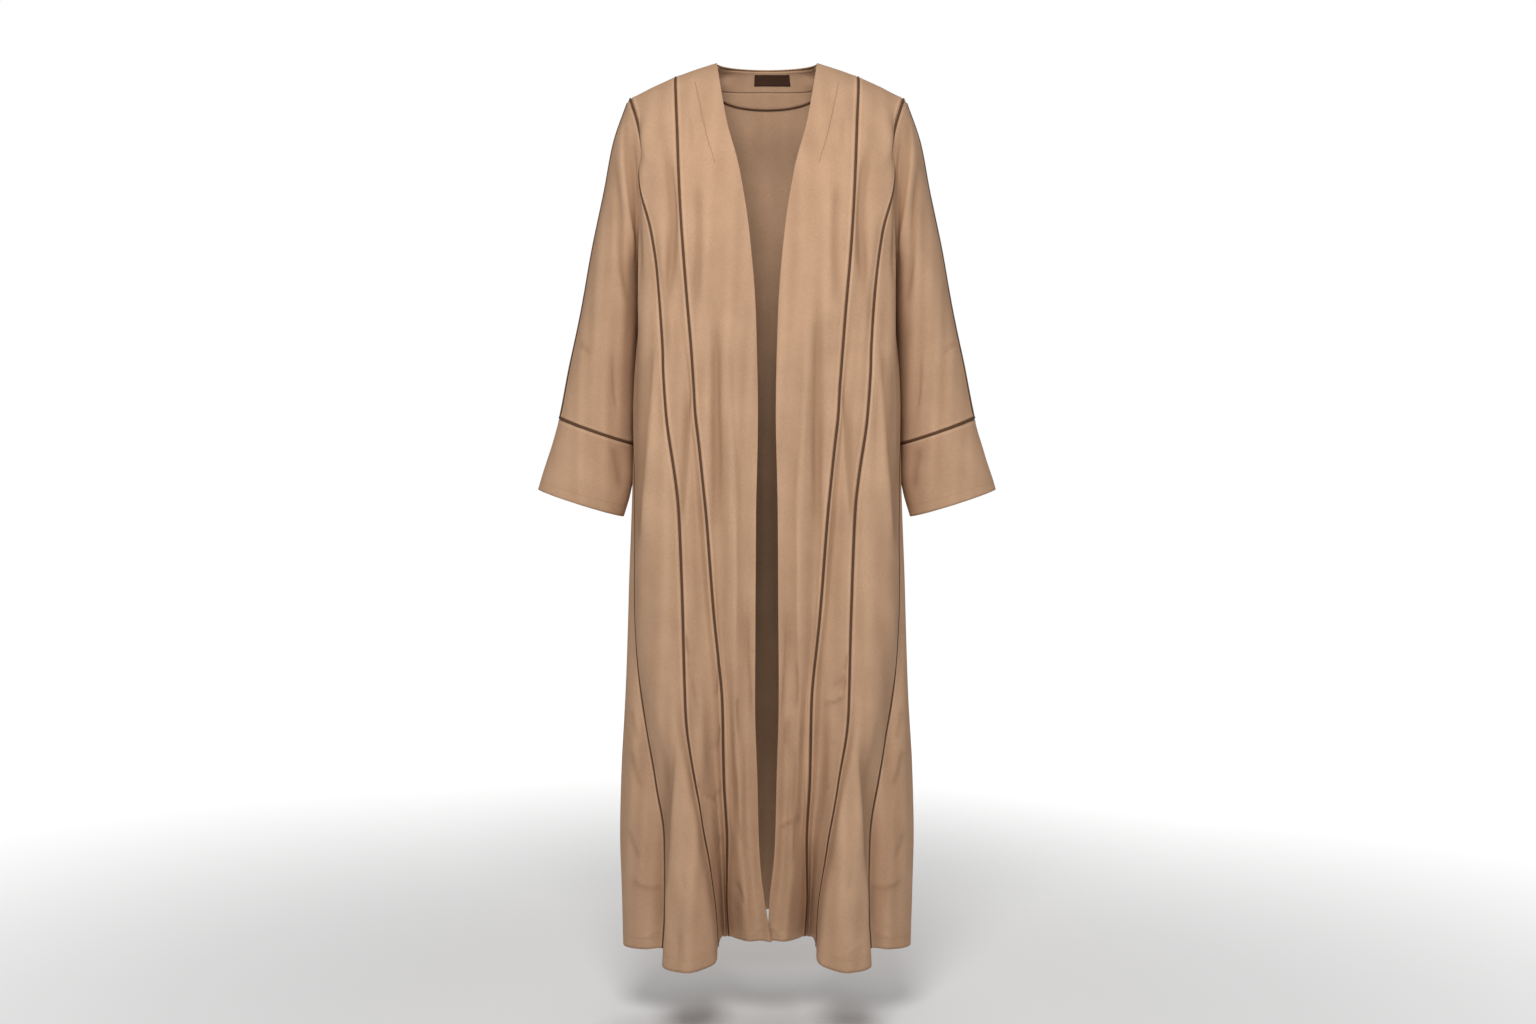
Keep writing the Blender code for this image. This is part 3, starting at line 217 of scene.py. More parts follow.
# Sleeve
CUFF_END = 1.40
ARMHOLE_BLEND = 0.30
OVERARM_TURN = math.radians(16)
SLEEVE_HALF_DEPTH = 0.06
OVERARM_TRIM = TUCK / SLEEVE_HALF_DEPTH
OVERARM_REACH = 0.03
UNDERARM_TRIM = 0.004
CUFF_GAP = 0.002
CUFF_TURN = 0.08
CUFF_CORD_ROWS = (0.99, 1.0, 1.01)
OVERARM_CORD_ROWS = (0.012, 0.996)

# Rows and columns of the cloth
TOP_STEPS = 56
LOWER_ROWS = 205
FINE_PER_STRAND = 30
SLEEVE_ROWS = 100
CUFF_ROWS = 30
SLEEVE_COLUMNS = 100
CUFF_COLUMNS = 120
ARMHOLE_CORD_STEPS = 90
LINING_COLUMNS = 61
EDGE_CROWDING = 0.62
WIDEST_TRIM = 0.3
COLUMNS = {"front_centre": 50, "front_middle": 40, "front_side": 56, "back": 150}

# Where the side panel and the cords begin below the ends of their seams, and how far each side of a seam
# the cloth is looked at for the way out
SIDE_PANEL_START = 0.004
SIDE_PANEL_STEP = 0.002
SEAM_B_CORD_START = 0.005
SEAM_C_CORD_START = 0.004
SEAM_REACH = 0.05

# Inside the back neck: depths below the neck's edge
BAND_DEPTH = 0.035
FACING_DEPTH = 0.062
FACING_SIDE_DEPTH = 0.048
FACING_CURVE_PLACES = 1.6
FACING_HALF_PLACES = 2.5
LINING_GAP = 0.0006
LINING_INSET = 0.0010
FACING_START = BAND_DEPTH + 0.0003
LINING_DEPTH = CLOTH / 2 + LINING_GAP + TRIM_CLOTH / 2
BINDING_LIFT = 0.7
LABEL_CLOTH = 0.0008
LABEL_DEPTH = LINING_DEPTH + TRIM_CLOTH / 2 + LINING_GAP + LABEL_CLOTH / 2
LABEL_LEVEL = 0.017
LABEL_MIDDLE = 0.0085
LABEL_HALF_WIDTH = 0.0290
LABEL_TOP = 0.0055
LABEL_BOTTOM = 0.0240

# Creases on both halves, placed where the photograph shows them on its left half: kind, height in
# millimetres, half width in pixels, and the path in pixels. A trough goes in, a ridge comes out, and a
# fold stands proud on the left of its path and fades away from it.
CREASES = (
    ("trough", 0.45, 0.9, ((695, 78), (700.5, 104), (707, 138), (711, 156), (715, 172))),
    ("trough", 0.8, 3.0, ((691, 115), (692, 136), (692, 160))),
    ("trough", 1.3, 4.0, ((698, 180), (698.5, 204), (699.8, 238), (698.3, 284), (698, 320))),
    ("trough", 3.2, 4.5, ((713, 270), (715.6, 353), (716.4, 405), (717.3, 456), (717, 491), (716, 560))),
    ("trough", 0.8, 2.2, ((731, 320), (732.5, 388), (735, 440), (739.7, 491), (741, 560))),
    ("ridge", 1.0, 2.0, ((735.3, 500), (735.5, 545), (735.6, 600), (735, 660))),
    ("trough", 1.2, 2.6, ((745.5, 590), (747.6, 658), (749.5, 690), (751, 730))),
    ("trough", 0.6, 1.2, ((750, 650.5), (753, 650), (757, 648))),
    ("ridge", 0.8, 1.4, ((744.6, 939), (755, 932), (766, 922))),
    (
        "trough", 2.2, 5.0,
        ((661.6, 105), (667, 157), (671, 179), (674.3, 211), (673, 251), (669, 293), (667, 325)),
    ),
    ("fold", 2.2, 2.4, ((693.5, 385), (691, 420), (688, 462), (685.5, 500), (683, 540))),
    ("fold", 3.0, 3.2, ((655, 345), (653.6, 370), (650.3, 422), (646.7, 474), (643.5, 522), (640.5, 552))),
    ("ridge", 0.6, 1.2, ((643, 682), (650, 680), (658, 677))),
    ("trough", 1.0, 3.0, ((632, 705), (633, 721), (638, 742))),
    ("trough", 1.2, 3.0, ((630, 745), (635, 770), (642, 790))),
    ("trough", 1.0, 2.4, ((629, 826), (632, 842), (640, 862))),
    ("fold", 1.0, 1.5, ((630, 874), (637, 881), (646, 885.6), (656, 886), (667, 883.6))),
    ("ridge", 1.0, 1.6, ((637, 939), (650, 933), (663, 927))),
    (
        "fold", 3.0, 1.7,
        ((640, 270), (635.8, 240), (632.4, 219), (629, 191), (626.8, 164), (626, 136), (627.6, 108)),
    ),
    ("trough", 2.0, 4.0, ((616, 145), (618.8, 184), (620.8, 211), (622.6, 255), (626, 284), (630, 310))),
    ("trough", 3.0, 3.4, ((632, 128), (635, 165), (637.5, 205), (640, 255), (641, 300))),
    ("trough", 0.8, 1.8, ((613.5, 345), (615, 381), (616, 396), (620, 415))),
    ("trough", 0.9, 2.2, ((579, 340), (585, 347), (591, 355))),
    ("trough", 1.6, 4.5, ((615, 442), (618, 456), (620.5, 474), (621, 492))),
    ("trough", 0.5, 2.0, ((681, 868), (684, 882), (688, 897))),
    ("fold", 3.4, 3.0, ((679, 725), (676, 775), (673, 823), (671, 860), (667, 905), (664, 955))),
    ("ridge", 0.6, 1.6, ((731, 780), (731, 810), (733, 840))),
)
RIGHT_CREASES = (
    ("trough", 1.2, 2.4, ((738, 695), (738.5, 710), (741, 745))),
    ("trough", 1.2, 3.0, ((736, 750), (737, 800), (738.6, 828), (743, 848))),
    ("trough", 0.9, 2.2, ((735, 879), (740, 893), (744, 907))),
    ("trough", 0.6, 1.4, ((733, 904), (736, 908), (740, 910))),
    ("trough", 0.6, 1.5, ((742.6, 844), (749, 848), (755, 850.5))),
    ("trough", 1.5, 1.9, ((686.3, 632), (687, 645), (691, 658))),
    ("trough", 0.9, 1.5, ((687, 663), (689.5, 665.5), (692.5, 668))),
    ("trough", 0.7, 1.8, ((692, 675), (696, 695), (700, 718))),
    ("trough", 1.1, 2.2, ((718.3, 655), (716.8, 680), (713.5, 702))),
    ("trough", 1.1, 2.2, ((719.5, 722), (717.5, 738), (714.5, 754))),
    ("trough", 1.2, 1.8, ((697.5, 784), (698.6, 787), (700.5, 790))),
    ("fold", 1.2, 1.5, ((720, 811), (716, 804), (710.4, 800), (706, 797.7), (701, 796.5))),
    ("trough", 1.1, 2.0, ((719.5, 787), (717, 795), (713.5, 803))),
    ("trough", 0.7, 2.0, ((722, 832), (720.3, 841), (719.5, 852))),
    ("trough", 1.2, 2.6, ((679, 930), (680.5, 950), (682, 972))),
)
LEFT_CREASES = (
    ("trough", 1.3, 2.6, ((739, 655), (737.5, 690), (739, 712))),
    ("trough", 1.1, 2.4, ((745, 715), (747.5, 735), (747, 750))),
    ("trough", 1.9, 3.6, ((739, 738), (739.5, 770), (740.2, 794), (739.3, 840), (742.2, 876))),
    ("fold", 1.2, 1.4, ((734, 813.5), (738.2, 818.3), (747.2, 822.4), (757.3, 828.6))),
    ("trough", 1.3, 2.2, ((686, 652), (688, 664), (691, 672))),
    ("trough", 0.9, 2.4, ((687.5, 676), (695, 683), (706, 688))),
    ("fold", 1.3, 1.4, ((687.5, 693), (694.4, 698), (702.7, 701), (714.5, 700.7))),
    ("trough", 1.0, 1.6, ((688, 679), (690, 687), (693, 693))),
    ("trough", 0.7, 1.3, ((696, 743.8), (702, 744.2), (710, 743.8))),
    ("trough", 0.5, 1.2, ((703, 787.8), (707, 788), (711, 787.5))),
    ("ridge", 0.9, 1.5, ((669, 941), (676, 947), (683, 953), (695, 958), (711, 957))),
)
# The same for the back, in the pixels that it would fill if the photograph saw through the front
BACK_CREASES = (
    ("trough", 1.6, 5.0, ((655, 110), (668, 150), (676, 200), (680, 260))),
    ("trough", 1.2, 4.0, ((700, 330), (697, 420), (699, 500), (696, 580))),
    ("trough", 1.4, 4.5, ((727, 300), (731, 400), (729, 520), (733, 620))),
    ("fold", 1.2, 2.4, ((655, 620), (652, 540), (657, 460), (662, 390))),
    ("trough", 0.8, 2.0, ((690, 640), (702, 648), (716, 646))),
    ("trough", 0.9, 1.8, ((640, 690), (650, 698), (662, 697))),
    ("fold", 1.0, 1.6, ((720, 760), (706, 768), (692, 766), (680, 758))),
    ("trough", 1.2, 3.2, ((668, 720), (664, 790), (668, 850))),
    ("ridge", 0.9, 1.8, ((650, 905), (664, 897), (680, 893))),
    ("trough", 1.0, 2.2, ((745, 690), (742, 740), (747, 790))),
    ("trough", 0.8, 1.8, ((735, 872), (745, 880), (757, 881))),
)
BACK_UNEVEN_CREASES = (
    ("trough", 1.0, 3.0, ((712, 420), (716, 480), (714, 540))),
    ("fold", 1.1, 1.6, ((735, 700), (722, 709), (708, 707))),
    ("trough", 0.9, 2.0, ((676, 560), (684, 600), (683, 640))),
    ("fold", 0.8, 1.2, ((790, 801), (767, 802.5), (744, 801))),
    ("ridge", 0.4, 1.2, ((750, 843), (767, 843), (784, 842))),
)
MILLIMETRE = 0.001
TAPER = 0.28
FOLD_FADE = 4.5
CREASE_DEPTH = 1.9
# Painted light and shade of the creases: the height that gets the full painted shade, the painted highlight on
# a fold's raised side and on a ridge, and the painted shade and light of the slight waves per millimetre
FULL_SHADE = 2.0
FOLD_LIGHT = 0.45
RIDGE_LIGHT = 0.6
WAVE_SHADE = 0.22
# Painted shade on the inside of the back, darker below the neck
BACK_INSIDE_PAINTED_SHADE = 0.23
PAINTED_SHADE_TOP = 0.0
PAINTED_SHADE_REACH = 0.36
# How much of the cloth's colour comes from the light and shade painted into it
SHADE_SHARE = 0.34

# The sewn line down each side of the chest: its top, and its place across the panel there and at its foot
DART_TOP = -0.022
DART_LENGTH = 0.150
DART_SHARES = (0.55, 0.385)
DART_RADIUS = 0.0004

# Rows of stitches: how far each is from its edge
HEM_STITCHES = 0.018
CUFF_STITCHES = 0.016
FACING_STITCHES = 0.0025

# The cut of each sheet that shows: the width and length that hold it, and its area
SHEETS = {
    "back": (0.906, 1.458, 0.953),
    "back_neck_band": (0.254, 0.059, 0.0095),
    "back_facing": (0.238, 0.026, 0.0045),
    "label": (0.059, 0.019, 0.00103),
}
SIDE_SHEETS = {
    "front_centre": (0.105, 1.435, 0.1165),
    "front_middle": (0.090, 1.424, 0.084),
    "front_side": (0.227, 1.284, 0.154),
    "sleeve_front": (0.304, 0.514, 0.070),
    "sleeve_back": (0.316, 0.514, 0.080),
    "cuff": (0.379, 0.119, 0.044),
}
SHEETS |= {f"{kind}_{side}": cut for kind, cut in SIDE_SHEETS.items() for side in SIDES}

# Floor, lights as (name, place, aim, size, power), and camera
FLOOR_HEIGHT = -1.52
FLOOR_RADIUS = 3.0
FLOOR_SIDES = 96
# The floor glows more from its middle out, a painted glow, so that its edge fades into the white behind it
FLOOR_FADE = (0.5, 2.7)
FLOOR_GLOW = 0.62
WORLD_LIGHT = 0.36
LIGHTS = (
    ("key", (-0.15, -2.1, 0.9), (0.0, 0.0, -0.30), 1.1, 46.0),
    ("fill", (0.4, -3.0, -0.4), (0.0, 0.0, -0.7), 1.4, 2.0),
    ("back", (0.6, 2.4, 0.5), (0.0, 0.0, -0.5), 1.2, 24.0),
)
TILT = math.radians(1.82)
LENS = 45.34
SHIFT = (0.0007, -0.0450)
CAMERA_PLACE = (0.0, -3.06, -0.4994)


# Curves

def eased(knots, values):
    """A smooth curve through values at knots that never overshoots them, as a function of the place."""
    knots = np.asarray(knots, float)
    values = np.asarray(values, float)
    spans = np.diff(knots)
    slopes = np.diff(values) / spans
    tangents = np.empty(len(values))
    tangents[0] = slopes[0]
    tangents[-1] = slopes[-1]
    for i in range(1, len(slopes)):
        before, after = slopes[i - 1], slopes[i]
        if before * after <= 0:
            tangents[i] = 0.0
            continue
        near = 2 * spans[i] + spans[i - 1]
        far = spans[i] + 2 * spans[i - 1]
        tangents[i] = (near + far) / (near / before + far / after)

    def curve(at):
        i = min(max(int(np.searchsorted(knots, at)) - 1, 0), len(spans) - 1)
        s = (at - knots[i]) / spans[i]
        return hermite(values[i], values[i + 1], tangents[i] * spans[i], tangents[i + 1] * spans[i], s)

    return curve


def hermite(start, end, leaving, arriving, s):
    return (
        (2 * s**3 - 3 * s**2 + 1) * start
        + (s**3 - 2 * s**2 + s) * leaving
        + (3 * s**2 - 2 * s**3) * end
        + (s**3 - s**2) * arriving
    )


def through(points, places):
    """Points of the smooth curve through the given points, at places counted in points from the first."""
    chords = np.maximum(np.linalg.norm(np.diff(points, axis=0), axis=1), 1e-6)
    slopes = np.diff(points, axis=0) / chords[:, None]
    tangents = np.empty_like(points)
    tangents[0] = slopes[0]
    tangents[-1] = slopes[-1]
    before, after = chords[:-1, None], chords[1:, None]
    tangents[1:-1] = (after * slopes[:-1] + before * slopes[1:]) / (before + after)
    i = np.clip(np.floor(places).astype(int), 0, len(chords) - 1)
    s = (np.asarray(places, float) - i)[:, None]
    reach = chords[i][:, None]
    return hermite(points[i], points[i + 1], tangents[i] * reach, tangents[i + 1] * reach, s)


def unit(vectors):
    return vectors / np.maximum(np.linalg.norm(vectors, axis=-1, keepdims=True), 1e-12)


def smooth(share):
    share = np.clip(share, 0, 1)
    return share * share * (3 - 2 * share)


def run_lengths(points, axis=0):
    """The distance run from the first point to each, along a path or along one axis of a grid."""
    steps = np.linalg.norm(np.diff(points, axis=axis), axis=-1)
    start = np.zeros_like(np.take(steps, [0], axis=axis))
    return np.concatenate([start, np.cumsum(steps, axis=axis)], axis=axis)


def along_path(at, runs, values):
    """A path's values at distances along it."""
    return np.stack([np.interp(at, runs, values[:, i]) for i in range(3)], axis=-1)


# Shoulder, neck and armhole

def shoulder_height(out):
    s = np.clip((out - NECK_HALF_WIDTH) / (SHOULDER_HALF_WIDTH - NECK_HALF_WIDTH), 0, 1.02)
    return -SHOULDER_DROP * s + SHOULDER_ROUND * np.sin(math.pi * np.clip(s, 0, 1))


def neck_point(out):
    """The back's top edge at this distance from the middle: the neck curve, then the shoulder line."""
    s = np.clip(np.abs(out) / NECK_HALF_WIDTH, 0, 1)
    curve = np.sqrt(1 - s**2)
    drop = shoulder_height(np.abs(out)) - NECK_DROP * curve
    return np.stack([out, NECK_DEPTH * curve, drop], axis=-1)


def armhole_point(angle, behind):
    """A point of the right armhole's loop: angle 0 is the shoulder tip, a half turn the underarm."""
    mean = (SHOULDER_HALF_WIDTH + UNDERARM_OUT) / 2
    lean = (SHOULDER_HALF_WIDTH - UNDERARM_OUT) / 2
    out = mean + lean * math.cos(angle) - ARMHOLE_SAG * math.sin(angle) ** 2
    depth = ARMHOLE_BACK if behind else -ARMHOLE_FORE
    return np.array([-out, depth * math.sin(angle), ARMHOLE_HALF_HEIGHT * math.cos(angle) - ARMHOLE_MIDDLE])


def into_body(angle, behind):
    """The way from the armhole into the body's cloth: more along the shoulder at the top, back elsewhere."""
    across = 0.25 + 0.75 * math.cos(angle) ** 2
    round_loop = 1 - 0.6 * max(0.0, math.cos(angle)) ** 2
    side = 1.0 if behind else -1.0
    radial = np.array([0.0, side * math.sin(angle), math.cos(angle)])
    return unit(np.array([across, 0.0, 0.0]) + round_loop * radial)


def into_sleeve(angle):
    """The way from the armhole into the sleeve: outward and down, more down towards the underarm."""
    return unit(np.array([-1.0, 0.0, -0.35 - 0.35 * (1 - math.cos(angle)) / 2]))


# Strands of the body, as in the part's source

def strand_table(names, sections, hems):
    found = {}
    for column, name in enumerate(names):
        found[name] = {
            "levels": [row[0] for row in sections],
            "out": [row[1 + column][0] for row in sections],
            "fore": [row[1 + column][1] for row in sections],
            "hem": hems[column],
        }
    return found


def with_start(strand, level, point):
    return {
        "levels": [level] + strand["levels"],
        "out": [-point[0]] + strand["out"],
        "fore": [-point[1]] + strand["fore"],
        "hem": strand["hem"],
    }


def level_of_angle(angle):
    height = armhole_point(angle, False)[2]
    level = max(0.0, (-SHOULDER_DROP - height) / (1 - SHOULDER_DROP / YOKE_DEPTH))
    return level if level < YOKE_DEPTH else -height


def level_height(start_out, level, hem):
    """Height of a strand at a level: sloped with the shoulder above, drawn to its own hem below."""
    if level < YOKE_DEPTH:
        return shoulder_height(start_out) * (1 - level / YOKE_DEPTH) - level
    if level < HEM_FROM:
        return -level
    share = (hem - HEM_FROM) / (HEM_LEVEL - HEM_FROM)
    return -HEM_FROM - (level - HEM_FROM) * share


def angle_of_level(level):
    height = level_height(SHOULDER_HALF_WIDTH, level, HEM_LEVEL)
    return math.acos(np.clip((height + ARMHOLE_MIDDLE) / ARMHOLE_HALF_HEIGHT, -1, 1))


SEAM_B_ANGLE = math.pi * SEAM_B_STEP / ARMHOLE_STEPS
SEAM_B_LEVEL = level_of_angle(SEAM_B_ANGLE)


def body_strands():
    found = strand_table(CENTRE_STRANDS, CENTRE_SECTIONS, CENTRE_HEM)
    found |= strand_table(MIDDLE_STRANDS, MIDDLE_SECTIONS, MIDDLE_HEM)
    seam_b_start = armhole_point(SEAM_B_ANGLE, False)
    for name, strand in strand_table(SIDE_STRANDS, SIDE_SECTIONS, SIDE_HEM).items():
        found[name] = with_start(strand, SEAM_B_LEVEL, seam_b_start)
    lower = strand_table(BACK_STRANDS[:4], BACK_LOWER_SECTIONS, BACK_HEM[:4])
    upper = strand_table(BACK_STRANDS[1:4], BACK_UPPER_SECTIONS, BACK_HEM[1:4])
    for name, strand in upper.items():
        for key in ("levels", "out", "fore"):
            strand[key] += lower[name][key]
        found[name] = strand
    turn_level, turn = UNDERARM_TURN
    turned = with_start(lower["seam_c"], turn_level, np.array([-turn[0], -turn[1]]))
    found["seam_c"] = with_start(turned, UNDERARM_DOWN, armhole_point(math.pi, False))
    found |= strand_table(BACK_STRANDS[4:], BACK_SECTIONS, BACK_HEM[4:])
    for strand in found.values():
        prepare(strand)
    return found


def prepare(strand):
    strand["out_curve"] = eased(strand["levels"], strand["out"])
    strand["fore_curve"] = eased(np.sqrt(strand["levels"]), strand["fore"])


STRANDS = {side: body_strands() for side in SIDES}
left_edge = STRANDS["left"]["edge"]
left_edge["out"][-1], left_edge["fore"][-1] = LEFT_EDGE_HEM
prepare(left_edge)

FRONT_ORDER = CENTRE_STRANDS + MIDDLE_STRANDS + SIDE_STRANDS
SEAM_A_PLACE = len(CENTRE_STRANDS) - 1
SEAM_B_PLACE = SEAM_A_PLACE + len(MIDDLE_STRANDS) + 1
SEAM_C_PLACE = SEAM_B_PLACE + len(SIDE_STRANDS)
BACK_PLACES = len(BACK_STRANDS) - 1


def strand_point(strand, level):
    out = strand["out_curve"](level)
    fore = strand["fore_curve"](math.sqrt(max(level, 0.0)))
    start = strand["out"][0] if strand["levels"][0] == 0 else SHOULDER_HALF_WIDTH
    return np.array([-out, -fore, level_height(start, level, strand["hem"])])


def armhole_edge(level, behind):
    angle = angle_of_level(level)
    return armhole_point(angle, behind) + ARMHOLE_TUCK * into_body(angle, behind)


@functools.lru_cache(maxsize=None)
def front_points(side, level):
    """The strands' points of one front at a level, drawn at -X, from its edge to round its side."""
    strands = STRANDS[side]
    names = CENTRE_STRANDS + MIDDLE_STRANDS if level <= SEAM_B_LEVEL else FRONT_ORDER
    points = [strand_point(strands[name], level) for name in names]
    if level <= UNDERARM_DOWN:
        points.append(armhole_edge(level, False))
    else:
        points += [strand_point(strands[name], level) for name in ("seam_c", "flank", "side")]
    return np.array(points)


@functools.lru_cache(maxsize=None)
def back_points(level):
    strands = STRANDS["right"]
    outer = strand_point(strands["seam_c"], level) if level > UNDERARM_DOWN else armhole_edge(level, True)
    half = [outer] + [strand_point(strands[name], level) for name in BACK_STRANDS[1:]]
    if level > UNDERARM_DOWN:
        half.insert(0, strand_point(strands["side_4"], level))
    half = np.array(half)
    return np.concatenate([half, half[-2::-1] * (-1, 1, 1)])


def on_shoulder(top, places):
    """How far the top edge lies from the curve through its strands, so that it follows the shoulder line."""
    out = np.interp(places, np.arange(len(top)), top[:, 0])
    return neck_point(out) - through(top, places)


def front_ring(side, level, places):
    points = front_points(side, level)
    places = np.minimum(places, len(points) - 1)
    found = through(points, places)
    if level < TOP_EASE:
        rise = on_shoulder(front_points(side, 0.0), np.minimum(places, SEAM_B_PLACE))
        rise[:, 1] = 0.0
        found = found + rise * (1 - smooth(level / TOP_EASE))
    return found


def back_ring(level, places):
    shift = 1 if level > UNDERARM_DOWN else 0
    found = through(back_points(level), np.asarray(places) + shift)
    if level < TOP_EASE:
        found = found + on_shoulder(back_points(0.0), places) * (1 - smooth(level / TOP_EASE))
    return found


# Sleeves, drawn at -X: angle 0 is the outer line, and positive angles turn over the front

SLEEVE_VALUES = [(*outer, *inner, *depths) for _, outer, inner, *depths in SLEEVE_SECTIONS]
SLEEVE_CURVES = [eased([row[0] for row in SLEEVE_SECTIONS], values) for values in zip(*SLEEVE_VALUES)]


def sleeve_oval(row, angles):
    outer_out, outer_down, inner_out, inner_down, fore, back, behind = [curve(row) for curve in SLEEVE_CURVES]
    outer = np.array([-outer_out, behind, -outer_down])
    inner = np.array([-inner_out, behind, -inner_down])
    points = (outer + inner) / 2 + (outer - inner) / 2 * np.cos(angles)[:, None]
    points[:, 1] += np.abs(np.sin(angles)) * np.where(np.sin(angles) >= 0, -fore, back)
    return points


def sleeve_ring(row, angles):
    points = sleeve_oval(row, angles)
    if row < ARMHOLE_BLEND:
        start = []
        for angle in angles:
            turn = abs(math.remainder(angle, 2 * math.pi))
            start.append(armhole_point(turn, math.sin(angle) < 0) + ARMHOLE_TUCK * into_sleeve(turn))
        share = 1 - smooth(row / ARMHOLE_BLEND)
        points = points + (np.array(start) - sleeve_oval(0.0, angles)) * share
    return points


def overarm_angle(row):
    return OVERARM_TURN * min(row, 1.0)


# Creases

def photo_place(points):
    """Where the photograph's camera sees these points, in its pixels."""
    scale = CAMERA_DISTANCE / (CAMERA_DISTANCE + points[..., 1]) / PIXEL
    across = MIDDLE_PX + points[..., 0] * scale
    down = HORIZON_PX - (points[..., 2] - CAMERA_HEIGHT) * scale
    return np.stack([across, down], axis=-1)


def crease(seen, kind, height, width, path):
    """The height of one crease at each place and the light and shade painted for it, with its ends tapered to
    nothing.
    """
    line = through(np.array(path, float), np.linspace(0, len(path) - 1, 8 * (len(path) - 1) + 1))
    reach = (FOLD_FADE if kind == "fold" else 1.0) * 3 * width
    near = np.all((seen > line.min(axis=0) - reach) & (seen < line.max(axis=0) + reach), axis=-1)
    found = np.zeros((2,) + seen.shape[:-1])
    if not near.any():
        return found
    spans = np.diff(line, axis=0)
    offsets = seen[near][:, None] - line[:-1]
    along = np.clip((offsets * spans).sum(axis=-1) / (spans**2).sum(axis=-1), 0, 1)
    gaps = offsets - along[..., None] * spans
    nearest = (gaps**2).sum(axis=-1).argmin(axis=1)
    pick = np.arange(len(nearest))
    gap = gaps[pick, nearest]
    span = spans[nearest]
    side = np.sign(span[:, 1] * gap[:, 0] - span[:, 0] * gap[:, 1])
    distance = np.linalg.norm(gap, axis=-1) / width
    place = (nearest + along[pick, nearest]) / len(spans)
    taper = smooth(place / TAPER) * smooth((1 - place) / TAPER)
    # Painted shade below a fold's edge and a painted highlight on its raised side; painted shade in a trough
    # and a painted highlight on a ridge
    if kind == "fold":
        across = side * distance
        profile = np.exp(-np.maximum(across, 0) / FOLD_FADE) / (1 + np.exp(-np.clip(3 * across, -30, 30)))
        shade = FOLD_LIGHT * profile - np.exp(-((across + 0.7) ** 2)) - 0.5 * np.exp(-((across + 2.2) ** 2) / 2)
    else:
        profile = np.exp(-distance**2) * (1 if kind == "ridge" else -1)
        shade = profile * (RIDGE_LIGHT if kind == "ridge" else 1)
    found[0][near] = height * CREASE_DEPTH * MILLIMETRE * profile * taper
    found[1][near] = shade * taper * min(1.0, height / FULL_SHADE)
    return found


def waves(points):
    """Slight unevenness all over the cloth, mostly in long upright waves."""
    x, y, z = points[..., 0], points[..., 1], points[..., 2]
    found = 0.62 * np.sin(185 * np.abs(x) + 5 * z + 1.7 * np.sin(6 * z) + 0.4)
    found += 0.45 * np.sin(310 * x - 9 * z + 2.0 * np.sin(7 * z + 4 * x) + 0.7) * np.sin(4.5 * z + 0.6)
    found += 0.30 * np.sin(61 * x + 23 * z + 3.1 * np.sin(9 * z)) * np.sin(17 * z + 40 * y + 1.3)
    found += 0.16 * np.sin(43 * z + 120 * x + 57 * y + 2.2)
    return found * MILLIMETRE * smooth(-z / 0.06) * smooth(0.15 + np.abs(y) / 0.05)


def relief(points, normals):
    """How far the cloth stands out from its plain form, and the light and shade painted into its colour for its
    creases and waves.
    """
    seen = photo_place(points)
    ahead = smooth(-normals[..., 1] * 2.2)
    behind = smooth(normals[..., 1] * 2.2)
    mirrored = seen.copy()
    mirrored[..., 0] = MIRROR_PX - seen[..., 0]
    front = sum(crease(seen, *row) for row in CREASES + RIGHT_CREASES)
    front += sum(crease(mirrored, *row) for row in CREASES + LEFT_CREASES)
    back = sum(crease(seen, *row) for row in BACK_CREASES + BACK_UNEVEN_CREASES)
    back += sum(crease(mirrored, *row) for row in BACK_CREASES)
    height, shade = front * ahead + back * behind
    wave = waves(points)
    return height + wave, np.clip(shade + WAVE_SHADE * wave / MILLIMETRE, -1, 1)


# Meshes

def grid_normals(points, ring_closed=False):
    if ring_closed:
        across = np.roll(points, -1, axis=1) - np.roll(points, 1, axis=1)
    else:
        across = np.gradient(points, axis=1)
    down = np.gradient(points, axis=0)
    return unit(np.cross(across, down))


def add_object(name, data):
    made = bpy.data.objects.new(name, data)
    bpy.context.scene.collection.objects.link(made)
    return made


def make_object(name, points, faces, material, uvs=None, shade=None):
    mesh = bpy.data.meshes.new(name)
    mesh.vertices.add(len(points))
    mesh.vertices.foreach_set("co", np.ascontiguousarray(points, np.float32).ravel())
    faces = np.asarray(faces, np.int32)
    count, corners = faces.shape
    mesh.loops.add(count * corners)
    mesh.loops.foreach_set("vertex_index", faces.ravel())
    mesh.polygons.add(count)
    mesh.polygons.foreach_set("loop_start", np.arange(count, dtype=np.int32) * corners)
    mesh.polygons.foreach_set("loop_total", np.full(count, corners, np.int32))
    mesh.update(calc_edges=True)
    mesh.validate()
    if uvs is not None:
        layer = mesh.uv_layers.new(name="cloth")
        layer.data.foreach_set("uv", uvs[faces.ravel()].astype(np.float32).ravel())
    if shade is not None:
        mesh.attributes.new("shade", "FLOAT", "POINT").data.foreach_set("value", shade.astype(np.float32))
    mesh.materials.append(material)
    mesh.shade_smooth()
    made = add_object(name, mesh)
    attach(made, "root")
    return made


def grid_faces(rows, columns, ring_closed=False):
    around = columns if ring_closed else columns - 1
    row, column = np.meshgrid(np.arange(rows - 1), np.arange(around), indexing="ij")
    row, column = row.ravel(), column.ravel()
    after = (column + 1) % columns
    first, last = row * columns + column, row * columns + after
    return np.stack([first, first + columns, last + columns, last], axis=1)


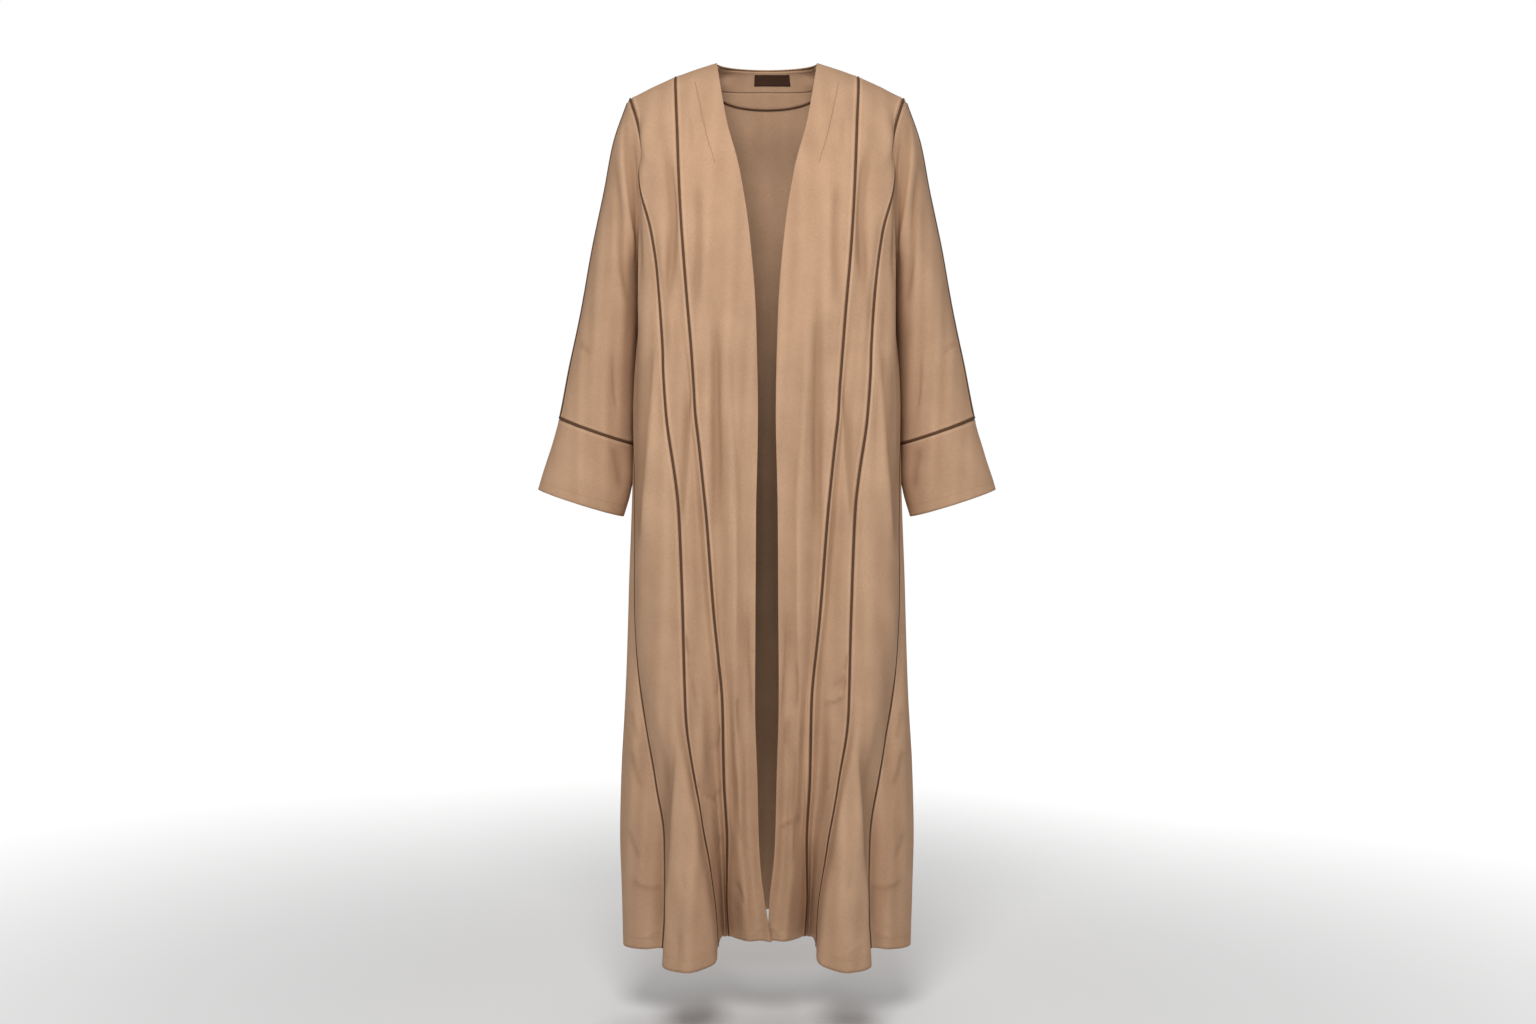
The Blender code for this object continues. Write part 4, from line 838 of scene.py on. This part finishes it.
def shell(name, middle, normals, shade, thickness, material, turn=0.0, ring_closed=False, flip=False, dim=0.0):
    """A closed sheet of cloth about a grid of points, thicker inside by its turned hem."""
    rows, columns = middle.shape[:2]
    inner_by = np.broadcast_to(thickness / 2 + turn, (rows, columns))
    outer = (middle + normals * (thickness / 2)).reshape(-1, 3)
    inner = (middle - normals * inner_by[..., None]).reshape(-1, 3)
    half = rows * columns
    front = grid_faces(rows, columns, ring_closed)
    around = columns + 1 if ring_closed else columns
    index = np.arange(half).reshape(rows, columns)
    paths = [index[0, np.arange(around) % columns], index[-1, np.arange(around)[::-1] % columns]]
    if not ring_closed:
        paths += [index[::-1, 0], index[:, -1]]
    rims = [np.stack([half + path[1:], half + path[:-1], path[:-1], path[1:]], axis=1) for path in paths]
    faces = np.concatenate([front, half + front[:, ::-1]] + rims)
    if flip:
        faces = faces[:, ::-1]
    across = run_lengths(middle, 1)
    across -= across.mean(axis=1, keepdims=True)
    down = run_lengths(middle).mean(axis=1)
    uvs = np.stack([across, np.broadcast_to(-down[:, None], across.shape)], axis=-1).reshape(-1, 2)
    # The inside face gets half the outside's painted light and shade with light and dark swapped, and the
    # inside of the back gets painted shade that darkens downwards
    inside = -0.5 * shade - dim * smooth((PAINTED_SHADE_TOP - middle[..., 2]) / PAINTED_SHADE_REACH)
    shades = np.concatenate([shade.ravel(), inside.ravel()])
    points = np.concatenate([outer, inner])
    return make_object(name, points, faces, material, np.concatenate([uvs, uvs]), shades)


def dressed(points, mirrored, ring_closed=False):
    """The cloth's middle points with its creases, their normals and the shade painted for the creases, on the
    right or the left.
    """
    normals = grid_normals(points, ring_closed)
    if mirrored:
        points, normals = points * (-1, 1, 1), normals * (-1, 1, 1)
    height, shade = relief(points, normals)
    points = points + normals * height[..., None]
    fresh = grid_normals(points, ring_closed)
    return points, -fresh if mirrored else fresh, shade


def seam_rise(points, seams):
    """How far the cloth sinks at each of its sewn edges and swells beside it, with painted shade in the dip and
    a painted highlight on the swell.
    """
    found = np.zeros((2,) + points.shape[:2])
    runs = run_lengths(points, 1)
    falls = run_lengths(points)
    distances = {"first": runs, "last": runs[:, -1:] - runs, "top": falls, "bottom": falls[-1:] - falls}
    for seam in seams:
        dip = np.exp(-((distances[seam] / SEAM_DIP_WIDTH) ** 2))
        swell = np.exp(-(((distances[seam] - SEAM_SWELL_AT) / SEAM_DIP_WIDTH) ** 2))
        found += (SEAM_SWELL * swell - SEAM_DIP * dip, SEAM_PAINTED_HIGHLIGHT * swell - dip)
    return found


def sewn(middle, normals, shade, seams):
    # The seams' painted shade and highlight are added to the creases' painted shade
    rise, light = seam_rise(middle, seams)
    return middle + normals * rise[..., None], normals, np.clip(shade + light, -1, 1)


def clustered(count):
    """Fractions from 0 to 1, closer together at both ends."""
    share = np.linspace(0, 1, count)
    return share - EDGE_CROWDING * np.sin(2 * math.pi * share) / (2 * math.pi)


def hem_turn(levels, columns, end, length):
    """Extra thickness inside, over the turned hem."""
    turned = smooth((np.asarray(levels) - (end - length)) / (length * 0.12))
    return HEM_EXTRA * np.broadcast_to(turned[:, None], (len(levels), columns))


def panel_points(ring, levels, first, last, columns, trims):
    """Rows of points across a panel, evenly spaced along each row from seam to seam."""
    rows = []
    shares = clustered(columns)
    for level in levels:
        fine = np.linspace(first, last, int(FINE_PER_STRAND * (last - first)) + 1)
        curve = ring(level, fine)
        runs = run_lengths(curve)
        start, end = (min(trim, WIDEST_TRIM * runs[-1]) for trim in trims)
        rows.append(ring(level, np.interp(start + shares * (runs[-1] - start - end), runs, fine)))
    return np.array(rows)


TOP_LEVELS = [level_of_angle(math.pi * k / TOP_STEPS) for k in range(TOP_STEPS + 1)]
BODY_LEVELS = TOP_LEVELS + list(np.linspace(UNDERARM_DOWN, HEM_LEVEL, LOWER_ROWS + 1)[1:])


def declare(node, slot, cut=None):
    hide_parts(node)
    if cut:
        width, length, area = cut


# Tubes and stitches

def frame_along(centres, proud, closed=False):
    """The ways across and out of a tube, square to its path."""
    if closed:
        along = unit(np.roll(centres, -1, axis=0) - np.roll(centres, 1, axis=0))
    else:
        along = unit(np.gradient(centres, axis=0))
    across = unit(np.cross(proud, along))
    return across, np.cross(along, across)


def tube(name, centres, proud, radius, material, sides=10, closed=False):
    """A round cord along the centres."""
    across, out = frame_along(centres, proud, closed)
    angles = np.arange(sides) * 2 * math.pi / sides
    ring = np.cos(angles)[None, :, None] * out[:, None] + np.sin(angles)[None, :, None] * across[:, None]
    points = centres[:, None] + ring * radius
    rows = np.concatenate([points, points[:1]]) if closed else points
    runs = run_lengths(rows[:, 0])[:len(points)]
    uvs = np.stack(np.broadcast_arrays(angles[None, :] * radius, runs[:, None]), axis=-1)
    count = len(points)
    faces = grid_faces(count, sides, ring_closed=True)
    if closed:
        index = np.arange(sides)
        after = (index + 1) % sides
        last = (count - 1) * sides
        faces = np.concatenate([faces, np.stack([last + index, index, after, last + after], axis=1)])
    else:
        cap = np.array([(i, i + 1, sides - 2 - i, sides - 1 - i) for i in range(sides // 2 - 1)])
        faces = np.concatenate([faces, cap[:, ::-1], (count - 1) * sides + cap])
    return make_object(name, points.reshape(-1, 3), faces[:, ::-1], material, uvs.reshape(-1, 2))


def stitches(name, paths):
    """A row of small stitches along each path of (points, normals), in one piece."""
    all_points, all_faces = [], []
    ring = np.array([(1, 0), (0, 1), (-1, 0), (0, -1)], float)
    for path, normals in paths:
        runs = run_lengths(path)
        for start in np.arange(STITCH_PITCH / 2, runs[-1] - STITCH_LENGTH, STITCH_PITCH):
            at = start + STITCH_LENGTH * np.array([0.0, 0.2, 0.5, 0.8, 1.0])
            out = unit(along_path(at, runs, normals))
            rise = STITCH_RADIUS * np.array([-1.0, 0.3, 0.6, 0.3, -1.0])
            spine = along_path(at, runs, path) + out * rise[:, None]
            across = unit(np.cross(out, unit(spine[-1] - spine[0])))
            girth = STITCH_RADIUS * np.array([0.5, 0.9, 1.0, 0.9, 0.5])
            round_spine = ring[None, :, :1] * out[:, None] + ring[None, :, 1:] * across[:, None]
            points = spine[:, None] + girth[:, None, None] * round_spine
            base = 4 * 5 * len(all_points)
            ends = [(3, 2, 1, 0), (16, 17, 18, 19)]
            all_points.append(points.reshape(-1, 3))
            all_faces.append(base + np.concatenate([grid_faces(5, 4, ring_closed=True), ends]))
    make_object(name, np.concatenate(all_points), np.concatenate(all_faces), THREAD_MATERIAL)


def grid_row(points, normals, lift, distance):
    """A path over a grid of cloth at a distance from its lower end, lifted off its surface."""
    points, normals = points[::-1], normals[::-1]
    runs = run_lengths(points).mean(axis=1)
    row = int(np.clip(np.searchsorted(runs, distance) - 1, 0, len(runs) - 2))
    share = (distance - runs[row]) / (runs[row + 1] - runs[row])
    path = points[row] * (1 - share) + points[row + 1] * share
    out = unit(normals[row] * (1 - share) + normals[row + 1] * share)
    return path + out * lift, out


# Materials

def nodes_of(name):
    material = bpy.data.materials.new(name)
    material.use_nodes = True
    tree = material.node_tree
    return material, tree, tree.nodes["Principled BSDF"]


def noise(tree, vector, scale, detail=2.0, roughness=0.5):
    node = tree.nodes.new("ShaderNodeTexNoise")
    node.inputs["Scale"].default_value = scale
    node.inputs["Detail"].default_value = detail
    node.inputs["Roughness"].default_value = roughness
    tree.links.new(vector, node.inputs["Vector"])
    return node.outputs["Fac"]


def stretched(tree, vector, scale):
    node = tree.nodes.new("ShaderNodeMapping")
    node.inputs["Scale"].default_value = scale
    tree.links.new(vector, node.inputs["Vector"])
    return node.outputs["Vector"]


def maths(tree, operation, first, second):
    node = tree.nodes.new("ShaderNodeMath")
    node.operation = operation
    for socket, value in zip(node.inputs, (first, second)):
        if isinstance(value, (int, float)):
            socket.default_value = value
        else:
            tree.links.new(value, socket)
    return node.outputs["Value"]


def colour_mix(tree, factor, low, high):
    node = tree.nodes.new("ShaderNodeMix")
    node.data_type = "RGBA"
    tree.links.new(factor, node.inputs["Factor"])
    node.inputs["A"].default_value = (*low, 1.0)
    node.inputs["B"].default_value = (*high, 1.0)
    return node.outputs["Result"]


def woven(name, dark, light, roughness, sheen, thread, bump, speckle=0.5):
    """Plain woven cloth: threads both ways and faint mottling, with painted shade in its folds and painted
    highlights on its ridges and beside its seams.
    """
    material, tree, shader = nodes_of(name)
    place = tree.nodes.new("ShaderNodeTexCoord")
    weft = noise(tree, stretched(tree, place.outputs["UV"], (0.16 / thread, 1.0 / thread, 1.0)), 1.0)
    warp = noise(tree, stretched(tree, place.outputs["UV"], (1.0 / thread, 0.16 / thread, 1.0)), 1.0)
    threads = maths(tree, "ADD", maths(tree, "MULTIPLY", weft, 0.5), maths(tree, "MULTIPLY", warp, 0.5))
    broad = noise(tree, place.outputs["Object"], 16.0, detail=3.0)
    fine = noise(tree, place.outputs["Object"], 330.0, detail=1.0)
    tone_and_shade = maths(tree, "MULTIPLY", threads, speckle)
    tone_and_shade = maths(tree, "ADD", tone_and_shade, maths(tree, "MULTIPLY", broad, 0.35))
    tone_and_shade = maths(tree, "ADD", tone_and_shade, maths(tree, "MULTIPLY", fine, 0.65 - speckle))
    # The shade attribute paints shade into creases, the low sides of folds, seam dips and the inside of the
    # back, and highlights onto ridges and seam swells
    fold = tree.nodes.new("ShaderNodeAttribute")
    fold.attribute_name = "shade"
    tone_and_shade = maths(tree, "ADD", tone_and_shade, maths(tree, "MULTIPLY", fold.outputs["Fac"], SHADE_SHARE))
    tone_and_shade = maths(tree, "SUBTRACT", tone_and_shade, 0.25)
    tree.links.new(colour_mix(tree, tone_and_shade, dark, light), shader.inputs["Base Color"])
    relief_node = tree.nodes.new("ShaderNodeBump")
    relief_node.inputs["Strength"].default_value = bump
    relief_node.inputs["Distance"].default_value = thread
    tree.links.new(threads, relief_node.inputs["Height"])
    tree.links.new(relief_node.outputs["Normal"], shader.inputs["Normal"])
    shader.inputs["Roughness"].default_value = roughness
    shader.inputs["Specular IOR Level"].default_value = 0.12
    shader.inputs["Sheen Weight"].default_value = sheen
    shader.inputs["Sheen Roughness"].default_value = 0.5
    material.diffuse_color = (*light, 1.0)
    return material


CLOTH_MATERIAL = woven("tan_cloth", (0.375, 0.225, 0.135), (0.740, 0.480, 0.315), 0.9, 0.0, 0.0009, 0.35)
PIPING_MATERIAL = woven("piping_satin", (0.084, 0.042, 0.023), (0.154, 0.081, 0.047), 0.6, 0.0, 0.0006, 0.3)
LABEL_MATERIAL = woven("label_weave", (0.040, 0.016, 0.008), (0.075, 0.032, 0.016), 0.6, 0.1, 0.0005, 0.3)
THREAD_MATERIAL = woven("sewing_thread", (0.28, 0.155, 0.09), (0.36, 0.205, 0.12), 0.6, 0.1, 0.0003, 0.2)


# Panels

GRIDS = {}


def upright_top(normals, points):
    """Along the shoulder the front's and the back's cloth end square to each other."""
    flat = normals[0].copy()
    on_shoulder = np.abs(points[0, :, 0]) > NECK_HALF_WIDTH - TUCK
    flat[on_shoulder, 1] = 0.0
    normals[0] = unit(flat)
    return normals


def add_sheet(
    node, middle, normals, shade, ending="cloth", slot="cloth", thickness=CLOTH, material=CLOTH_MATERIAL, **form
):
    """A sheet of cloth, whose grid is kept for the stitches on it."""
    piece = shell(f"{node}_{ending}", middle, normals, shade, thickness, material, **form)
    GRIDS[node] = (middle, normals)
    declare(node, slot, SHEETS[node])


def add_cord(node, centres, proud, radius=PIPING_RADIUS, closed=False):
    piece = tube(f"{node}_cord", centres, proud, radius, PIPING_MATERIAL, closed=closed)
    declare(node, "piping")


def build_panel(node, ring, levels, first, last, trims, seams, mirrored=False, dim=0.0):
    columns = COLUMNS[node.removesuffix("_left").removesuffix("_right")]
    points = panel_points(ring, levels, first, last, columns, trims)
    middle, normals, shade = sewn(*dressed(points, mirrored), seams)
    if levels[0] == 0.0:
        normals = upright_top(normals, middle)
    turn = hem_turn(levels, columns, HEM_LEVEL, HEM_TURN)
    add_sheet(node, middle, normals, shade, turn=turn, flip=mirrored, dim=dim)


def cord_along(node, ring, levels, place, mirrored):
    """Round piping down a seam of the body."""
    around = np.array([place - SEAM_REACH, place, place + SEAM_REACH])
    points = np.array([ring(level, around) for level in levels])
    middle, normals, _ = dressed(points, mirrored)
    centres, proud = middle[:, 1], normals[:, 1]
    if levels[0] == 0.0:
        proud[0, 1] = 0.0
        proud = unit(proud)
    add_cord(node, centres, proud)


def build_front(side):
    mirrored = side == "left"
    ring = functools.partial(front_ring, side)
    start = SEAM_B_LEVEL + SIDE_PANEL_START
    side_levels = [start] + [level for level in BODY_LEVELS if level > start + SIDE_PANEL_STEP]
    for kind, levels, first, last, trims, seams in (
        ("centre", BODY_LEVELS, 0, SEAM_A_PLACE, (0.0, TUCK), ("last",)),
        ("middle", BODY_LEVELS, SEAM_A_PLACE, SEAM_B_PLACE, (TUCK, TUCK), ("first", "last")),
        ("side", side_levels, SEAM_B_PLACE, SEAM_C_PLACE, (TUCK, TUCK), ("first", "last")),
    ):
        build_panel(f"front_{kind}_{side}", ring, levels, first, last, trims, seams, mirrored)
    for seam, place, start in (
        ("seam_a", SEAM_A_PLACE, 0.0),
        ("seam_b", SEAM_B_PLACE, SEAM_B_LEVEL + SEAM_B_CORD_START),
        ("side_seam", SEAM_C_PLACE, UNDERARM_DOWN + SEAM_C_CORD_START),
    ):
        levels = [level for level in BODY_LEVELS if level >= start]
        cord_along(f"piping_{seam}_{side}", ring, levels, place, mirrored)


for side in SIDES:
    build_front(side)
build_panel("back", back_ring, BODY_LEVELS, 0, 2 * BACK_PLACES, (TUCK, TUCK), ("first", "last"), dim=BACK_INSIDE_PAINTED_SHADE)


# Sleeves and cuffs

def sleeve_grid(rows, spans, columns):
    """Points of rows down the sleeve, each between its two angles."""
    return np.array([sleeve_ring(row, np.linspace(*spans(row), columns)) for row in rows])


def front_span(row):
    return math.pi - UNDERARM_TRIM, overarm_angle(row) + OVERARM_TRIM


def back_span(row):
    return overarm_angle(row) - OVERARM_TRIM, -math.pi + UNDERARM_TRIM


def overarm_span(row):
    return overarm_angle(row) + OVERARM_REACH, overarm_angle(row) - OVERARM_REACH


def whole_span(row):
    return 0.0, -2 * math.pi * (1 - 1 / CUFF_COLUMNS)


def build_sleeve(side):
    mirrored = side == "left"
    rows = np.linspace(0, 1 - CUFF_GAP, SLEEVE_ROWS + 1)
    for kind, span, seams in (
        ("front", front_span, ("last", "top", "bottom")),
        ("back", back_span, ("first", "top", "bottom")),
    ):
        grid = dressed(sleeve_grid(rows, span, SLEEVE_COLUMNS), mirrored)
        add_sheet(f"sleeve_{kind}_{side}", *sewn(*grid, seams), flip=mirrored)
    rows = np.linspace(1 + CUFF_GAP, CUFF_END, CUFF_ROWS + 1)
    grid = dressed(sleeve_grid(rows, whole_span, CUFF_COLUMNS), mirrored, ring_closed=True)
    turn = hem_turn(rows, CUFF_COLUMNS, CUFF_END, CUFF_TURN)
    add_sheet(f"cuff_{side}", *sewn(*grid, ("top",)), turn=turn, ring_closed=True, flip=mirrored)
    grid = sleeve_grid(CUFF_CORD_ROWS, whole_span, CUFF_COLUMNS)
    middle, normals, _ = dressed(grid, mirrored, ring_closed=True)
    add_cord(f"piping_cuff_{side}", middle[1], normals[1], CUFF_PIPING_RADIUS, closed=True)
    rows = np.linspace(*OVERARM_CORD_ROWS, SLEEVE_ROWS)
    middle, normals, _ = dressed(sleeve_grid(rows, overarm_span, 3), mirrored)
    add_cord(f"piping_overarm_{side}", middle[:, 1] + normals[:, 1] * OVERARM_LIFT, normals[:, 1])


def build_armhole_cord(side):
    half_loop = [math.pi * k / ARMHOLE_CORD_STEPS for k in range(ARMHOLE_CORD_STEPS + 1)]
    centres, proud = [], []
    for behind, angles in ((False, half_loop[:-1]), (True, half_loop[:0:-1])):
        for angle in angles:
            centres.append(armhole_point(angle, behind))
            proud.append(unit(into_sleeve(angle) - into_body(angle, behind)))
    centres, proud = np.array(centres), np.array(proud)
    along = unit(np.roll(centres, -1, axis=0) - np.roll(centres, 1, axis=0))
    outward = unit(np.cross(proud, along))
    if side == "left":
        centres, outward = centres * (-1, 1, 1), outward * (-1, 1, 1)
    centres = centres + outward * relief(centres, outward)[0][:, None]
    add_cord(f"piping_armhole_{side}", centres, outward, closed=True)


for side in SIDES:
    build_sleeve(side)
    build_armhole_cord(side)


# Inside the back neck

def facing_depth(place):
    share = min(abs(place - BACK_PLACES) / FACING_CURVE_PLACES, 1.0)
    return FACING_DEPTH - (FACING_DEPTH - FACING_SIDE_DEPTH) * share**2


def inside_back(places, levels_at, depth):
    """Rows of points this far inside the middle of the back's cloth, and their normals."""
    count = len(levels_at(places[0]))
    points = np.array([[back_ring(levels_at(place)[i], [place])[0] for place in places] for i in range(count)])
    middle, normals, shade = dressed(points, False)
    return middle - normals * depth, normals, shade


def lining(node, places, levels_at, depth=LINING_DEPTH, thickness=TRIM_CLOTH, **form):
    add_sheet(node, *inside_back(places, levels_at, depth), thickness=thickness, **form)


def band_levels(place):
    return np.linspace(LINING_INSET, BAND_DEPTH, 14)


def facing_levels(place):
    return np.linspace(FACING_START, facing_depth(place) - LINING_INSET, 12)


def binding_levels(place):
    return facing_depth(place) + np.array([-LINING_INSET, 0.0, LINING_INSET])


def label_levels(place):
    return np.linspace(LABEL_TOP, LABEL_BOTTOM, 12)


LINING_PLACES = np.linspace(BACK_PLACES - FACING_HALF_PLACES, BACK_PLACES + FACING_HALF_PLACES, LINING_COLUMNS)
lining("back_neck_band", LINING_PLACES, band_levels)
lining("back_facing", LINING_PLACES, facing_levels)
binding_depth = CLOTH / 2 + LINING_GAP + BINDING_RADIUS * BINDING_LIFT
middle, normals, _ = inside_back(LINING_PLACES, binding_levels, binding_depth)
add_cord("facing_binding", middle[1], -normals[1], BINDING_RADIUS)
label_row = [back_ring(LABEL_LEVEL, [place])[0][0] for place in LINING_PLACES]
label_span = (LABEL_MIDDLE - LABEL_HALF_WIDTH, LABEL_MIDDLE + LABEL_HALF_WIDTH)
label_ends = np.interp(label_span, label_row, LINING_PLACES)
lining(
    "label", np.linspace(*label_ends, 30), label_levels, LABEL_DEPTH, LABEL_CLOTH,
    ending="woven", slot="label", material=LABEL_MATERIAL,
)


# Stitching

def dart_line(node):
    """A thread's path down the chest, between the front edge and the first piped seam."""
    middle, normals = GRIDS[node]
    path, out = [], []
    for row, ways in zip(middle, normals):
        drop = (DART_TOP - row[0, 2]) / DART_LENGTH
        if not 0 <= drop <= 1:
            continue
        runs = run_lengths(row)
        at = (DART_SHARES[0] + (DART_SHARES[1] - DART_SHARES[0]) * drop) * runs[-1]
        path.append(along_path(at, runs, row))
        out.append(along_path(at, runs, ways))
    out = unit(np.array(out))
    return np.array(path) + out * CLOTH / 2, out


for side in SIDES:
    tube(f"chest_line_{side}", *dart_line(f"front_centre_{side}"), DART_RADIUS, THREAD_MATERIAL, sides=6)
for side in SIDES:
    panels = [GRIDS[f"front_{kind}_{side}"] for kind in ("centre", "middle", "side")]
    stitches(f"hem_stitches_{side}", [grid_row(*grid, CLOTH / 2, HEM_STITCHES) for grid in panels])
    stitches(f"cuff_stitches_{side}", [grid_row(*GRIDS[f"cuff_{side}"], CLOTH / 2, CUFF_STITCHES)])
stitches("hem_stitches_back", [grid_row(*GRIDS["back"], CLOTH / 2, HEM_STITCHES)])
facing_path, facing_out = grid_row(*GRIDS["back_facing"], -TRIM_CLOTH / 2, FACING_STITCHES)
stitches("facing_stitches", [(facing_path, -facing_out)])


# Floor, light and camera

def build_floor():
    angles = np.arange(FLOOR_SIDES) * 2 * math.pi / FLOOR_SIDES
    rim = np.stack([np.cos(angles), np.sin(angles), np.zeros(FLOOR_SIDES)], axis=1) * FLOOR_RADIUS
    mesh = bpy.data.meshes.new("pale_floor")
    mesh.from_pydata(rim.tolist(), [], [list(range(FLOOR_SIDES))])
    material, tree, shader = nodes_of("pale_floor")
    shader.inputs["Base Color"].default_value = (0.85, 0.85, 0.85, 1.0)
    shader.inputs["Roughness"].default_value = 0.9
    shader.inputs["Specular IOR Level"].default_value = 0.1
    place = tree.nodes.new("ShaderNodeTexCoord")
    length = tree.nodes.new("ShaderNodeVectorMath")
    length.operation = "LENGTH"
    tree.links.new(place.outputs["Object"], length.inputs[0])
    fade = tree.nodes.new("ShaderNodeMapRange")
    fade.interpolation_type = "SMOOTHSTEP"
    fade.inputs["From Min"].default_value, fade.inputs["From Max"].default_value = FLOOR_FADE
    fade.inputs["To Max"].default_value = FLOOR_GLOW
    tree.links.new(length.outputs["Value"], fade.inputs["Value"])
    shader.inputs["Emission Color"].default_value = (1.0, 1.0, 1.0, 1.0)
    tree.links.new(fade.outputs["Result"], shader.inputs["Emission Strength"])
    mesh.materials.append(material)
    made = add_object("pale_floor", mesh)
    made.location = (0.0, 0.0, FLOOR_HEIGHT)


def build_world():
    """Even light from all round, which the camera sees as white."""
    world = bpy.data.worlds.new("studio")
    world.use_nodes = True
    tree = world.node_tree
    background = tree.nodes["Background"]
    path = tree.nodes.new("ShaderNodeLightPath")
    strength = tree.nodes.new("ShaderNodeMix")
    strength.inputs["A"].default_value = WORLD_LIGHT
    strength.inputs["B"].default_value = 1.0
    tree.links.new(path.outputs["Is Camera Ray"], strength.inputs["Factor"])
    tree.links.new(strength.outputs["Result"], background.inputs["Strength"])
    background.inputs["Color"].default_value = (1.0, 1.0, 1.0, 1.0)
    bpy.context.scene.world = world


def area_light(name, place, aim, size, power):
    data = bpy.data.lights.new(name, "AREA")
    data.shape = "DISK"
    data.size = size
    data.energy = power
    made = add_object(name, data)
    made.location = place
    way = mathutils.Vector(aim) - mathutils.Vector(place)
    made.rotation_euler = way.to_track_quat("-Z", "Y").to_euler()
    made.visible_camera = False


build_floor()
build_world()
for light in LIGHTS:
    area_light(*light)

camera_data = bpy.data.cameras.new("camera")
camera_data.lens = LENS
camera_data.sensor_width = 36.0
camera_data.shift_x, camera_data.shift_y = SHIFT
camera = add_object("camera", camera_data)
camera.location = CAMERA_PLACE
camera.rotation_euler = (math.pi / 2 - TILT, 0.0, 0.0)
bpy.context.scene.camera = camera
bpy.context.scene.view_settings.view_transform = "Standard"
